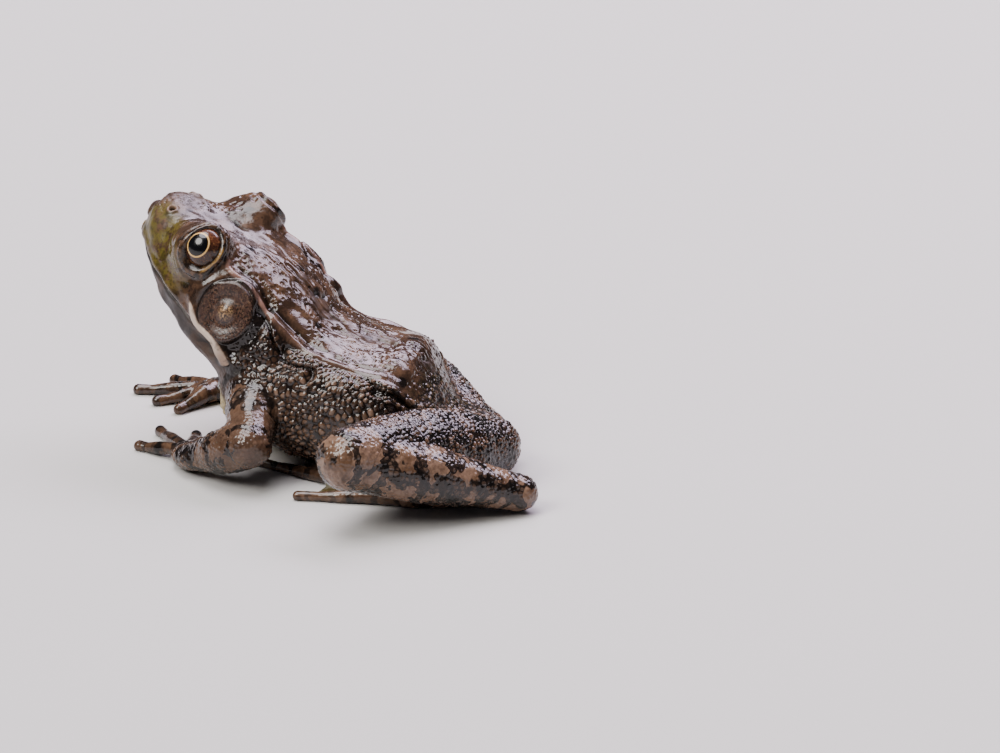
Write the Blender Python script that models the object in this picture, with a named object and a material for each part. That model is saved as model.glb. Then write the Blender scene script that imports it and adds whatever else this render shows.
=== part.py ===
"""A life-size green frog, sitting with its head up and its legs folded.

The frog faces -Y, its left side is at +X, and it rests on the plane z = 0. Every place below is
given in ninetieths of the snout to vent length, which are millimetres on this frog, measured
from a point on the floor under its belly. ORIGIN_SHIFT then moves the middle of its bounding box
over the world's origin. Each named sub-part is one closed solid. Where two of them meet, the
later one is cut back by the earlier one, grown by GAP.
"""

import math

import bmesh
import bpy
from mathutils import Matrix, Vector

SNOUT_TO_VENT = 0.090
UNIT = SNOUT_TO_VENT / 90.0
GAP = 0.3
ORIGIN_SHIFT = Vector((-1.815, 0.983, 0.0))

# The head's own axes: "back" runs from the eyes towards the nape and "up" over the crown. It is
# turned a little to its right about the neck.
HEAD_PITCH = math.radians(28.0)
HEAD_YAW = math.radians(-8.0)
NECK = Vector((0.0, -6.0, 0.0))
EYE_LINE = Vector((0.0, -23.5, 40.2))

EYE_SPREAD, EYE_BACK, EYE_UP = 9.5, 0.5, 0.1
EYE_RADIUS = 4.45
EYE_TILT = 0.5
LID_SPREAD, LID_BACK, LID_UP = 8.4, -0.5, -1.7
LID_RADII = (6.0, 6.2, 5.4)
LID_THICKNESS = 0.7
EYE_OPENING_REACH, EYE_OPENING_RADIUS = 4.6, 4.2
EARDRUM_RADIUS = 6.1
EARDRUM_SIDES = 18
EARDRUM_PROFILE = ((1.0, -1.2), (1.0, 0.3), (0.92, 0.7), (0.36, 0.5), (0.16, 1.0))
EARDRUM_SEAT = ((1.0, -1.2 - GAP), (1.0, 9.0))
EARDRUM_BACK, EARDRUM_UP, EARDRUM_SIDE = 11.4, -5.4, 14.3
EARDRUM_TILT = 0.36
NOSTRIL_RADIUS = 0.55
NOSTRIL_SIDE, NOSTRIL_BACK, NOSTRIL_UP = 3.3, -11.4, -1.5
MOUTH_FRONT_UP, MOUTH_CORNER_UP = -9.6, -12.0
MOUTH_CORNER_BACK = 13.6

BODY_SIDES = 28
LIMB_SIDES = 12
DIGIT_SIDES = 6
WEB_THICKNESS = 0.8
FLOOR_BLOCK = 160.0


def head_point(side, back, up):
    """A place on the head: to its left, behind the eyes' centres and above them."""
    along, over = math.cos(HEAD_PITCH), math.sin(HEAD_PITCH)
    level = EYE_LINE + Vector((side, back * along + up * over, up * along - back * over))
    return NECK + Matrix.Rotation(HEAD_YAW, 3, "Z") @ (level - NECK)


# The body's cross-sections from snout to vent. Each is a slanting oval: where it meets the back
# line, where it meets the belly line, its half-width, how far up it is widest, how square it is
# above and below that height, and its turn about the vertical in degrees.
BODY_SECTIONS = [
    (head_point(0, -16.0, -4.6), head_point(0, -15.6, -7.8), 2.2, 0.45, 2.0, 2.0, -8.0),
    (head_point(0, -14.9, -2.2), head_point(0, -14.0, -10.8), 5.0, 0.42, 2.2, 2.0, -8.0),
    (head_point(0, -11.6, -0.5), head_point(0, -10.8, -13.4), 7.8, 0.42, 2.4, 2.2, -8.0),
    (head_point(0, -6.5, 0.4), head_point(0, -6.0, -15.9), 10.8, 0.414, 2.7, 2.3, -8.0),
    (head_point(0, 0.5, 1.4), head_point(0, 0.5, -18.4), 13.6, 0.424, 3.0, 2.35, -8.0),
    (head_point(0, 7.5, 2.2), head_point(0, 6.5, -20.2), 15.2, 0.46, 2.7, 2.35, -8.0),
    (head_point(0, 14.0, 1.8), head_point(0, 12.0, -21.6), 15.8, 0.497, 2.45, 2.35, -8.0),
    (head_point(0, 19.5, 0.4), head_point(0, 15.0, -23.6), 15.8, 0.523, 2.45, 2.3, -8.0),
    (Vector((0.3, -2.0, 26.8)), Vector((-0.8, -20.0, 5.6)), 16.4, 0.50, 2.6, 2.3, -5.0),
    (Vector((0, 3.5, 24.2)), Vector((0, -10.0, 1.8)), 17.6, 0.48, 2.8, 2.3, -2.0),
    (Vector((0, 9.5, 23.0)), Vector((0, 1.0, 0.4)), 18.0, 0.46, 2.8, 2.3, 1.0),
    (Vector((-0.3, 15.6, 22.4)), Vector((-0.2, 11.0, -0.6)), 16.4, 0.45, 2.45, 2.3, 5.0),
    (Vector((-0.8, 19.2, 17.7)), Vector((-0.8, 18.0, -0.5)), 13.2, 0.45, 2.2, 2.2, 8.0),
    (Vector((-1.5, 23.0, 12.4)), Vector((-1.5, 23.0, 0.0)), 9.8, 0.45, 2.1, 2.2, 11.0),
    (Vector((-2.6, 29.0, 9.4)), Vector((-2.6, 28.8, 1.0)), 7.0, 0.45, 2.0, 2.0, 12.0),
    (Vector((-3.6, 34.0, 7.4)), Vector((-3.6, 33.8, 3.6)), 3.0, 0.45, 2.0, 2.0, 12.0),
]
RINGS_PER_SECTION = 2
NECK_SECTION = 7

# The limbs: joint centres, and radii at even steps from the first joint to the second.
SIDES = {"left": 1.0, "right": -1.0}
SHOULDER = {"left": (12.5, -12.0, 14.8), "right": (-13.0, -12.5, 15.2)}
ELBOW = {"left": (25.5, -8.0, 9.0), "right": (-24.5, -14.0, 9.2)}
WRIST = {"left": (22.0, -20.8, 3.4), "right": (-18.5, -27.0, 3.4)}
HAND_TURN = {"left": math.radians(-58.0), "right": math.radians(-24.0)}
UPPER_ARM_RADII = (5.0, 5.2, 4.6, 4.2)
FOREARM_RADII = (4.0, 4.6, 4.2, 3.2, 2.5)

HIP = {"left": (4.2, 32.6, 7.0), "right": (-5.6, 26.4, 4.9)}
KNEE = {"left": (37.0, 17.4, 14.2), "right": (-28.0, -3.6, 8.8)}
HEEL = {"left": (16.5, 43.5, 3.8), "right": (-12.5, 25.5, 3.5)}
INSTEP = {"left": (21.5, 23.5, 2.4), "right": (-25.0, 10.0, 2.3)}
THIGH_RADII = {"left": (5.7, 7.6, 8.0, 7.4, 6.0), "right": (4.4, 6.2, 7.4, 7.2, 6.0)}
SHANK_RADII = (5.0, 5.8, 5.4, 4.2, 3.4)
TARSUS_RADII = (3.0, 2.7, 2.8)
KNEE_SHIFT = 0.8

# Fingers: angle from the hand's own direction towards the outer side, and length.
FINGERS = ((-44.0, 9.6), (-14.0, 11.0), (12.0, 14.6), (44.0, 10.6))
FINGER_RADII = (1.5, 1.15, 1.25, 0.95, 1.15)
PALM_LENGTH, PALM_RADII = 5.6, (2.4, 3.6, 3.4)

# Toes: where each tip lies, as angle from the foot's own direction and length from the instep.
FOOT_TURN = {"left": math.radians(13.0), "right": math.radians(-8.0)}
TOES = ((-30.0, 15.0), (-21.0, 21.0), (-11.0, 28.0), (0.0, 38.5), (27.0, 21.5))
TOE_RADII = (2.1, 1.7, 1.3, 1.25, 0.9, 1.0)
# How far along each toe its web reaches, and how deep the web's edge dips for its span.
WEB_REACH = (0.80, 0.80, 0.76, 0.72, 0.90)
WEB_DIP = 0.36


def clear_scene():
    """Empties the file of everything that the model doesn't make."""
    for obj in list(bpy.data.objects):
        bpy.data.objects.remove(obj)


def material(name, colour, roughness):
    """A Principled material of one colour.

    Args: name, linear RGB colour and roughness. Returns the material.
    """
    made = bpy.data.materials.new(name)
    made.use_nodes = True
    shader = made.node_tree.nodes["Principled BSDF"]
    shader.inputs["Base Color"].default_value = (*colour, 1.0)
    shader.inputs["Roughness"].default_value = roughness
    shader.inputs["Metallic"].default_value = 0.0
    return made


def to_world(mesh):
    """Scales a mesh from body units to metres and moves it over the origin."""
    mesh.transform(Matrix.Scale(UNIT, 4) @ Matrix.Translation(ORIGIN_SHIFT))


def add_object(name, bm, finish):
    """Turns a bmesh into a smooth-shaded object with one material."""
    bmesh.ops.recalc_face_normals(bm, faces=bm.faces)
    if bm.calc_volume(signed=True) < 0:
        bmesh.ops.reverse_faces(bm, faces=bm.faces)
    mesh = bpy.data.meshes.new(name)
    bm.to_mesh(mesh)
    bm.free()
    to_world(mesh)
    mesh.shade_smooth()
    mesh.set_sharp_from_angle(angle=math.radians(50))
    obj = bpy.data.objects.new(name, mesh)
    obj.data.materials.append(finish)
    bpy.context.scene.collection.objects.link(obj)
    return obj


def as_cutter(obj):
    """Hides a helper from the render and draws it as wire."""
    obj.hide_render = True
    obj.display_type = "WIRE"
    return obj


def combine(obj, other, operation):
    """Adds an exact Boolean of another object, which becomes a hidden helper."""
    as_cutter(other)
    step = obj.modifiers.new(f"{operation.lower()}_{other.name}", "BOOLEAN")
    step.object = other
    step.operation = operation
    step.solver = "EXACT"
    return obj


def smooth_between(values, at):
    """A Catmull-Rom curve through the values, read at a place counted in steps between them."""
    last = len(values) - 1
    i = min(int(at), last - 1)
    t = at - i
    p0, p1 = values[max(i - 1, 0)], values[i]
    p2, p3 = values[i + 1], values[min(i + 2, last)]
    return 0.5 * (
        2 * p1
        + (p2 - p0) * t
        + (2 * p0 - 5 * p1 + 4 * p2 - p3) * t * t
        + (3 * p1 - p0 - 3 * p2 + p3) * t**3
    )


def loft(bm, rings):
    """Bridges closed rings of points one to the next and fills both ends."""
    loops = []
    for ring in rings:
        verts = [bm.verts.new(p) for p in ring]
        pairs = zip(verts, verts[1:] + verts[:1])
        loops.append([bm.edges.new(pair) for pair in pairs])
    for first, second in zip(loops, loops[1:]):
        bmesh.ops.bridge_loops(bm, edges=first + second)
    for end in (loops[0], loops[-1]):
        bmesh.ops.contextual_create(bm, geom=end)


def superellipse(angle, power):
    """The cosine and sine of an angle, pushed out towards a square as power rises over 2."""
    c, s = math.cos(angle), math.sin(angle)
    return (
        math.copysign(abs(c) ** (2 / power), c),
        math.copysign(abs(s) ** (2 / power), s),
    )


def body_ring(at, grow):
    """One ring of the body, at a place along BODY_SECTIONS."""
    back, belly, width, widest, over, under, turn = (
        smooth_between([section[k] for section in BODY_SECTIONS], at) for k in range(7)
    )
    rise = (back - belly).normalized()
    level = Vector((math.cos(math.radians(turn)), math.sin(math.radians(turn)), 0))
    centre = belly.lerp(back, widest)
    top, bottom = (back - centre).length, (belly - centre).length
    ring = []
    for k in range(BODY_SIDES):
        angle = math.tau * (k + 0.5) / BODY_SIDES
        across, high = superellipse(angle, over if math.sin(angle) > 0 else under)
        reach = top if high > 0 else bottom
        ring.append(centre + level * (across * (width + grow)) + rise * (high * (reach + grow)))
    return ring


def body_shape(name, finish, grow=0.0, first=0.0, last=len(BODY_SECTIONS) - 1.0):
    """The part of the body between two places along its sections, as one closed loft."""
    bm = bmesh.new()
    steps = round((last - first) * RINGS_PER_SECTION)
    rings = [body_ring(first + (last - first) * k / steps, grow) for k in range(steps + 1)]
    loft(bm, rings)
    return add_object(name, bm, finish)


def tube_ring(centre, along, radius, sides, flat):
    """A ring of points round a direction, lowered to flat times its radius in height."""
    side = along.cross(Vector((0, 0, 1))).normalized()
    over = side.cross(along).normalized()
    return [
        centre
        + side * (math.cos(math.tau * k / sides) * radius)
        + over * (math.sin(math.tau * k / sides) * radius * flat)
        for k in range(sides)
    ]


def tube(bm, points, radii, sides, flat=1.0, end_rings=2, grow=0.0):
    """A round-ended tube through the points, with its radius eased from each to the next."""
    count = len(points)
    rings = []
    first = (points[1] - points[0]).normalized()
    last = (points[-1] - points[-2]).normalized()
    for k in range(end_rings):
        angle = math.pi / 2 * (k + 0.35) / end_rings
        radius = radii[0] + grow
        centre = points[0] - first * (math.cos(angle) * radius)
        rings.append(tube_ring(centre, first, math.sin(angle) * radius, sides, flat))
    for k in range(count):
        along = (points[min(k + 1, count - 1)] - points[max(k - 1, 0)]).normalized()
        rings.append(tube_ring(points[k], along, radii[k] + grow, sides, flat))
    for k in reversed(range(end_rings)):
        angle = math.pi / 2 * (k + 0.35) / end_rings
        radius = radii[-1] + grow
        centre = points[-1] + last * (math.cos(angle) * radius)
        rings.append(tube_ring(centre, last, math.sin(angle) * radius, sides, flat))
    loft(bm, rings)


def limb(name, start, end, radii, finish, grow=0.0, flat=1.0, sides=LIMB_SIDES):
    """One straight limb segment with its muscles' swelling, between two joint centres."""
    bm = bmesh.new()
    a, b = Vector(start), Vector(end)
    last = len(radii) - 1
    points = [a.lerp(b, k / last) for k in range(last + 1)]
    tube(bm, points, radii, sides, flat, 3, grow)
    return add_object(name, bm, finish)


def ball(name, centre, radii, finish, segments=16, rings=10, grow=0.0):
    """An ellipsoid that leans back with the head."""
    bm = bmesh.new()
    bmesh.ops.create_uvsphere(bm, u_segments=segments, v_segments=rings, radius=1.0)
    size = Matrix.Diagonal((*(r + grow for r in radii), 1.0))
    turn = Matrix.Rotation(HEAD_YAW, 4, "Z") @ Matrix.Rotation(-HEAD_PITCH, 4, "X")
    bm.transform(Matrix.Translation(centre) @ turn @ size)
    return add_object(name, bm, finish)


def block(name, centre, size, pitch, finish):
    """A plain box, leaning back by an angle."""
    bm = bmesh.new()
    bmesh.ops.create_cube(bm, size=1.0)
    yaw = Matrix.Rotation(HEAD_YAW if pitch else 0.0, 4, "Z")
    place = Matrix.Translation(centre) @ yaw @ Matrix.Rotation(-pitch, 4, "X")
    bm.transform(place @ Matrix.Diagonal((*size, 1.0)))
    return add_object(name, bm, finish)


def eardrum(name, sign, finish, profile, grow=0.0):
    """The round eardrum or its seat, turned about a line facing sideways and upwards."""
    facing = Vector((sign, -0.05, EARDRUM_TILT)).normalized()
    facing = Matrix.Rotation(HEAD_YAW, 3, "Z") @ facing
    centre = head_point(sign * EARDRUM_SIDE, EARDRUM_BACK, EARDRUM_UP)
    rings = []
    for width, height in profile:
        radius = EARDRUM_RADIUS * width + grow
        rings.append(tube_ring(centre + facing * height, facing, radius, EARDRUM_SIDES, 1.0))
    bm = bmesh.new()
    loft(bm, rings)
    return add_object(name, bm, finish)


def half_space(name, point, normal, finish):
    """Everything on one side of a plane, half a gap away from a point on it."""
    bm = bmesh.new()
    bmesh.ops.create_cube(bm, size=FLOOR_BLOCK)
    turn = normal.to_track_quat("Z", "Y").to_matrix().to_4x4()
    centre = point + normal * (FLOOR_BLOCK / 2 + GAP / 2)
    bm.transform(Matrix.Translation(centre) @ turn)
    return add_object(name, bm, finish)


def part_at(joint, first, second, before, after, finish, shift=0.0):
    """Parts two limb segments with a thin flat cut through their joint.

    Args: the joint's place, the two objects, the far ends of both segments, the helpers' finish
    and how far the cut lies towards the second segment.
    """
    joint, before, after = Vector(joint), Vector(before), Vector(after)
    normal = ((before - joint).normalized() - (after - joint).normalized()).normalized()
    point = joint - normal * shift
    combine(first, half_space(f"{first.name}_half", point, normal, finish), "INTERSECT")
    combine(second, half_space(f"{second.name}_start", point, -normal, finish), "INTERSECT")


def floor_cutter(finish):
    """Everything under z = 0, which leaves flats where the frog rests."""
    centre = Vector((0, 0, -FLOOR_BLOCK / 2))
    size = (FLOOR_BLOCK, FLOOR_BLOCK, FLOOR_BLOCK)
    return as_cutter(block("floor_below", centre, size, 0.0, finish))


def towards(angle, sign):
    """A level direction: forwards, turned by an angle to the frog's outer side."""
    return Vector((math.sin(angle) * sign, -math.cos(angle), 0))


def palm_end(side):
    """The middle of the palm's far end, where the fingers fan out."""
    forward = towards(HAND_TURN[side], SIDES[side])
    palm = Vector(WRIST[side]) + forward * PALM_LENGTH
    palm.z = 1.9
    return palm


def hand(name, side, finish):
    """The palm and four fingers, pressed to the floor."""
    wrist, palm = Vector(WRIST[side]), palm_end(side)
    bm = bmesh.new()
    tube(bm, [wrist, wrist.lerp(palm, 0.55), palm], PALM_RADII, 12, 0.62)
    made = add_object(name, bm, finish)
    for k, (angle, length) in enumerate(FINGERS):
        way = towards(HAND_TURN[side] + math.radians(angle), SIDES[side])
        root = palm + way * 1.4
        places = (0.0, 0.3, 0.55, 0.82, 1.0)
        points = [root + way * (length * t) for t in places]
        for point, high in zip(points, (1.9, 2.1, 1.5, 1.0, 0.8)):
            point.z = high
        finger_bm = bmesh.new()
        tube(finger_bm, points, FINGER_RADII, DIGIT_SIDES, end_rings=1)
        combine(made, add_object(f"{name}_finger_{k + 1}", finger_bm, finish), "UNION")
    return made


def toe_line(side, angle, length):
    """The centreline of one toe, from the instep to its tip on the floor."""
    sign = SIDES[side]
    instep = Vector(INSTEP[side])
    way = towards(-FOOT_TURN[side] + math.radians(angle), sign)
    root = instep + way * 1.5
    points = [root.lerp(instep + way * length, k / 5) for k in range(6)]
    for point, high in zip(points, (2.0, 1.7, 1.4, 1.1, 0.9, 0.8)):
        point.z = high
    return points


def web(name, side, finish):
    """The thin skin between the toes, which dips in between each pair of tips."""
    instep = Vector(INSTEP[side])
    lines = [toe_line(side, *toe) for toe in TOES]
    reaches = [line[0].lerp(line[-1], share) for line, share in zip(lines, WEB_REACH)]
    edge = [reaches[0]]
    for before, after in zip(reaches, reaches[1:]):
        middle = (before + after) / 2
        inward = (instep - middle).normalized() * (after - before).length * WEB_DIP
        edge += [middle + inward, after]
    bm = bmesh.new()
    corners = []
    for point in [instep, *edge]:
        corners.append(bm.verts.new((point.x, point.y, 0.3)))
    face = bm.faces.new(corners)
    lifted = bmesh.ops.extrude_face_region(bm, geom=[face])
    top = [v for v in lifted["geom"] if isinstance(v, bmesh.types.BMVert)]
    bmesh.ops.translate(bm, verts=top, vec=(0, 0, WEB_THICKNESS))
    bmesh.ops.triangulate(bm, faces=bm.faces)
    return add_object(name, bm, finish)


def foot(name, side, finish):
    """The sole and five webbed toes, flat on the floor."""
    lines = [toe_line(side, *toe) for toe in TOES]
    made = web(name, side, finish)
    for k, line in enumerate(lines):
        bm = bmesh.new()
        tube(bm, line, TOE_RADII, DIGIT_SIDES)
        combine(made, add_object(f"{name}_toe_{k + 1}", bm, finish), "UNION")
    return made


def mouth_block(name, finish, grow=0.0):
    """Everything of the head below the mouth line and ahead of the jaw's corners."""
    front, corner = Vector((0, -20.0, MOUTH_FRONT_UP)), Vector((0, MOUTH_CORNER_BACK, MOUTH_CORNER_UP))
    slope = math.atan2(front.z - corner.z, corner.y - front.y)
    size = Vector((60.0, (corner - front).length, 40.0))
    middle = (front + corner) / 2 - Vector((0, math.sin(slope), math.cos(slope))) * (size.z / 2)
    centre = head_point(0, middle.y, middle.z)
    return block(name, centre, size + Vector((grow, grow, grow)) * 2, HEAD_PITCH + slope, finish)


def build_head(skin, eye_finish, drum_finish):
    """The head, lower jaw, trunk, eyes and eardrums."""
    head = body_shape("head", skin, 0.0, 0.0, NECK_SECTION - 0.02)
    jaw = body_shape("lower_jaw", skin, 0.0, 0.0, NECK_SECTION - 0.02)
    trunk = body_shape("trunk", skin, 0.0, NECK_SECTION + 0.02)
    combine(jaw, mouth_block("below_mouth", skin), "INTERSECT")
    for side, sign in SIDES.items():
        lid_centre = head_point(sign * LID_SPREAD, LID_BACK, LID_UP)
        combine(head, ball(f"brow_{side}", lid_centre, LID_RADII, skin, 20, 12), "UNION")
        centre = head_point(sign * EYE_SPREAD, EYE_BACK, EYE_UP)
        radii = (EYE_RADIUS,) * 3
        ball(f"eye_{side}", centre, radii, eye_finish)
        combine(head, ball(f"lid_{side}", centre, radii, skin, grow=LID_THICKNESS), "UNION")
        combine(head, ball(f"eye_{side}_socket", centre, radii, skin, grow=GAP), "DIFFERENCE")
        facing = Vector((1.0, 0.0, EYE_TILT)).normalized() * EYE_OPENING_REACH
        opening_centre = head_point(sign * (EYE_SPREAD + facing.x), EYE_BACK, EYE_UP + facing.z)
        opening = ball(f"eye_{side}_opening", opening_centre, (EYE_OPENING_RADIUS,) * 3, skin)
        combine(head, opening, "DIFFERENCE")
        eardrum(f"eardrum_{side}", sign, drum_finish, EARDRUM_PROFILE)
        seat = eardrum(f"eardrum_{side}_seat", sign, skin, EARDRUM_SEAT, GAP)
        combine(head, seat, "DIFFERENCE")
        nostril_centre = head_point(sign * NOSTRIL_SIDE, NOSTRIL_BACK, NOSTRIL_UP)
        nostril = ball(f"nostril_{side}", nostril_centre, (NOSTRIL_RADIUS,) * 3, skin, 8, 6)
        combine(head, nostril, "DIFFERENCE")
    combine(head, mouth_block("mouth_gap", skin, GAP), "DIFFERENCE")
    return {"head": head, "lower_jaw": jaw, "trunk": trunk}


def build_arm(side, skin):
    """Upper arm, forearm and hand, parted from the trunk and at the elbow and wrist."""
    arm = limb(f"upper_arm_{side}", SHOULDER[side], ELBOW[side], UPPER_ARM_RADII, skin)
    fore = limb(f"forearm_{side}", ELBOW[side], WRIST[side], FOREARM_RADII, skin)
    palm = hand(f"hand_{side}", side, skin)
    combine(arm, body_shape(f"trunk_by_arm_{side}", skin, GAP), "DIFFERENCE")
    combine(fore, body_shape(f"trunk_by_forearm_{side}", skin, GAP), "DIFFERENCE")
    part_at(ELBOW[side], arm, fore, SHOULDER[side], WRIST[side], skin)
    part_at(WRIST[side], fore, palm, ELBOW[side], palm_end(side), skin)
    return [arm, fore, palm]


def build_leg(side, skin):
    """Thigh, shank, tarsus and foot, each cut back by what lies against it."""
    bones = {
        "thigh": (HIP[side], KNEE[side], THIGH_RADII[side]),
        "shank": (KNEE[side], HEEL[side], SHANK_RADII),
        "tarsus": (HEEL[side], INSTEP[side], TARSUS_RADII),
    }
    made = {part: limb(f"{part}_{side}", *bone, skin) for part, bone in bones.items()}
    made["foot"] = foot(f"foot_{side}", side, skin)
    grown = {"trunk": body_shape(f"trunk_by_leg_{side}", skin, GAP)}
    for part in ("thigh", "shank"):
        grown[part] = limb(f"{part}_{side}_grown", *bones[part], skin, GAP)
    for part, against in (
        ("thigh", ("trunk",)),
        ("shank", ("trunk",)),
        ("tarsus", ("trunk", "thigh")),
        ("foot", ("trunk", "thigh", "shank")),
    ):
        for other in against:
            combine(made[part], grown[other], "DIFFERENCE")
    part_at(KNEE[side], made["thigh"], made["shank"], HIP[side], HEEL[side], skin, KNEE_SHIFT)
    part_at(HEEL[side], made["shank"], made["tarsus"], KNEE[side], INSTEP[side], skin)
    toe_tip = toe_line(side, *TOES[3])[-1]
    part_at(INSTEP[side], made["tarsus"], made["foot"], HEEL[side], toe_tip, skin)
    return list(made.values())


def main():
    """Builds the frog and cuts what touches the floor off flat."""
    clear_scene()
    skin = material("wet_skin", (0.062, 0.042, 0.028), 0.35)
    eye_finish = material("eye", (0.02, 0.015, 0.01), 0.05)
    drum_finish = material("eardrum", (0.07, 0.042, 0.03), 0.45)
    floor = floor_cutter(skin)
    made = list(build_head(skin, eye_finish, drum_finish).values())
    thighs = {}
    for side in SIDES:
        made += build_arm(side, skin)
        leg = build_leg(side, skin)
        thighs[side] = leg[0]
        made += leg
    hips = {side: Vector(HIP[side]) for side in SIDES}
    middle, apart = (hips["left"] + hips["right"]) / 2, hips["left"] - hips["right"]
    for side, sign in SIDES.items():
        own_side = half_space(f"{side}_of_vent", middle, apart.normalized() * sign, skin)
        combine(thighs[side], own_side, "INTERSECT")
    for obj in made:
        combine(obj, floor, "DIFFERENCE")


main()
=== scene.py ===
"""A life-size green frog in its dark phase, as a museum would show it.

The skin is one closed mesh drawn round the frog's form: a lofted body, tapering limbs, fingers,
toes and webs, which flow into one another, and then the folds, lids, lips and eardrums raised on
them. Lengths are millimetres in the frog's own frame until a mesh is made. The frog faces -Y and
its left side is at +X.
"""

import logging
import math
from dataclasses import dataclass, field
from enum import Enum
from typing import Any, Callable, Sequence

import bpy
import numpy as np
from mathutils import Matrix, Vector


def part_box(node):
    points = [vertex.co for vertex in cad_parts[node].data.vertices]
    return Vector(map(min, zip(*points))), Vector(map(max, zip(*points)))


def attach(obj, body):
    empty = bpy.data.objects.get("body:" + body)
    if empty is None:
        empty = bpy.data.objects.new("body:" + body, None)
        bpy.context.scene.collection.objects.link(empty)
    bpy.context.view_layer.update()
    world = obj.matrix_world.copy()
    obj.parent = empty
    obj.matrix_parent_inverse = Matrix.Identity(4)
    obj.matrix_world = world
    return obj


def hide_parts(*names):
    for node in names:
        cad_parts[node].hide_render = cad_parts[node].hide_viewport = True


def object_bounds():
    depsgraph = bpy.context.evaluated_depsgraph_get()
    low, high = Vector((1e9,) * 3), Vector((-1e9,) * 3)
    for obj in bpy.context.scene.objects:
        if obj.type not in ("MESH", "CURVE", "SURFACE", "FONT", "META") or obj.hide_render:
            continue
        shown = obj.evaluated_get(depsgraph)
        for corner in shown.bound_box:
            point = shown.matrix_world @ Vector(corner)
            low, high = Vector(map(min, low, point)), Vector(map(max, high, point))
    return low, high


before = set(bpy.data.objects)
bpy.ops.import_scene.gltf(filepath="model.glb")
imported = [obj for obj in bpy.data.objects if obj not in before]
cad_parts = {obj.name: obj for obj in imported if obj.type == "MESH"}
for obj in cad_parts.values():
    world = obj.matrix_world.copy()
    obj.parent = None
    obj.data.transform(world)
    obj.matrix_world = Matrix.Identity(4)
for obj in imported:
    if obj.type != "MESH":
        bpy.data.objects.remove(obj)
CAD_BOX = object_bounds()

Array = np.ndarray
Point = tuple[float, float, float]
Colour = tuple[float, float, float, float]
LOG = logging.getLogger("frog")
METRES = 0.001
FAR = 1e9
TINY = 1e-9
OUT_OF_REACH = 9.0
PRIMES = (73856093, 19349663, 83492791)
SCRAMBLE = 668265261
LOW_BITS = 0xFFFFFFFF


class Side(Enum):
    """The frog's two sides, by the sign of X there."""

    LEFT = 1.0
    RIGHT = -1.0

    @property
    def word(self) -> str:
        """The side's name as the solids spell it."""
        return self.name.lower()


# ---- numbers on points


def smooth_step(low: float, high: float, value: Array) -> Array:
    """Rises smoothly from 0 at low to 1 at high."""
    t = np.clip((value - low) / (high - low), 0.0, 1.0)
    return t * t * (3.0 - 2.0 * t)


def bell(distance: Array, width: float) -> Array:
    """A smooth bump of height 1 that has fallen to a third at the width."""
    return np.exp(-((distance / width) ** 2))


def bells(distance: Array, rows: Sequence[Point]) -> Array:
    """The sum of bumps, each given by its height, its middle and its width."""
    return sum(height * bell(distance - middle, width) for height, middle, width in rows)


def merged(first: Array, second: Array, soft: float) -> Array:
    """The union of two shapes, filleted where they are within soft of each other."""
    share = np.clip(0.5 + 0.5 * (second - first) / soft, 0.0, 1.0)
    return second + (first - second) * share - soft * share * (1.0 - share)


def carved(shape: Array, cutter: Array, soft: float) -> Array:
    """A shape with another taken out of it, and the edge rounded."""
    return -merged(-shape, cutter, soft)


def unit(way: Sequence[float]) -> Array:
    """A direction made 1 long."""
    return np.array(way) / np.linalg.norm(way)


def on_left(points: Array) -> Array:
    """Points with those of the right side mirrored onto the left."""
    return np.concatenate([np.abs(points[:, :1]), points[:, 1:]], axis=1)


def ellipsoid(points: Array, centre: Point, radii: Point) -> Array:
    """Nearly the distance from points to an ellipsoid along the axes.

    Args:
        points: N x 3 places.
        centre: Its middle.
        radii: Its half-lengths.

    Returns:
        The distance of each point, below zero inside.
    """
    offset = points - np.array(centre)
    near = np.linalg.norm(offset / np.array(radii), axis=1)
    slope = np.linalg.norm(offset / np.array(radii) ** 2, axis=1)
    return near * (near - 1.0) / np.maximum(slope, 1e-6)


def catmull(values: Array, at: Array) -> Array:
    """A smooth curve through rows of values, read at places counted in rows.

    Args:
        values: The rows.
        at: Where to read them, counted in rows.

    Returns:
        A row for each place.
    """
    last = len(values) - 1
    i = np.clip(at.astype(int), 0, last - 1)
    t = (at - i)[:, None]
    p0, p1 = values[np.maximum(i - 1, 0)], values[i]
    p2, p3 = values[i + 1], values[np.minimum(i + 2, last)]
    bend = 2 * p0 - 5 * p1 + 4 * p2 - p3
    return 0.5 * (2 * p1 + (p2 - p0) * t + bend * t * t + (3 * p1 - p0 - 3 * p2 + p3) * t**3)


def path_distance(points: Array, path: Array) -> tuple[Array, Array]:
    """How far points are from a path, and how far along it.

    Args:
        points: N x 3 places.
        path: M x 3 corners of the path.

    Returns:
        The distance of each point, and its nearest place along the path from 0 to 1.
    """
    best = np.full(len(points), FAR)
    along = np.zeros(len(points))
    count = len(path) - 1
    for k in range(count):
        start, step = path[k], path[k + 1] - path[k]
        t = np.clip((points - start) @ step / (step @ step), 0.0, 1.0)
        gap = np.linalg.norm(points - start - t[:, None] * step, axis=1)
        closer = gap < best
        best[closer] = gap[closer]
        along[closer] = (k + t[closer]) / count
    return best, along


def box_mask(points: Array, low: Array, high: Array, margin: float) -> Array:
    """Which points are in a box grown by a margin."""
    return ((points > low - margin) & (points < high + margin)).all(axis=1)


def lattice_points(low: Array, step: float, counts: Array) -> Array:
    """Every point of a lattice, with the last axis running fastest."""
    axes = [low[k] + step * np.arange(counts[k]) for k in range(3)]
    return np.stack(np.meshgrid(*axes, indexing="ij"), axis=-1).reshape(-1, 3)


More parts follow.
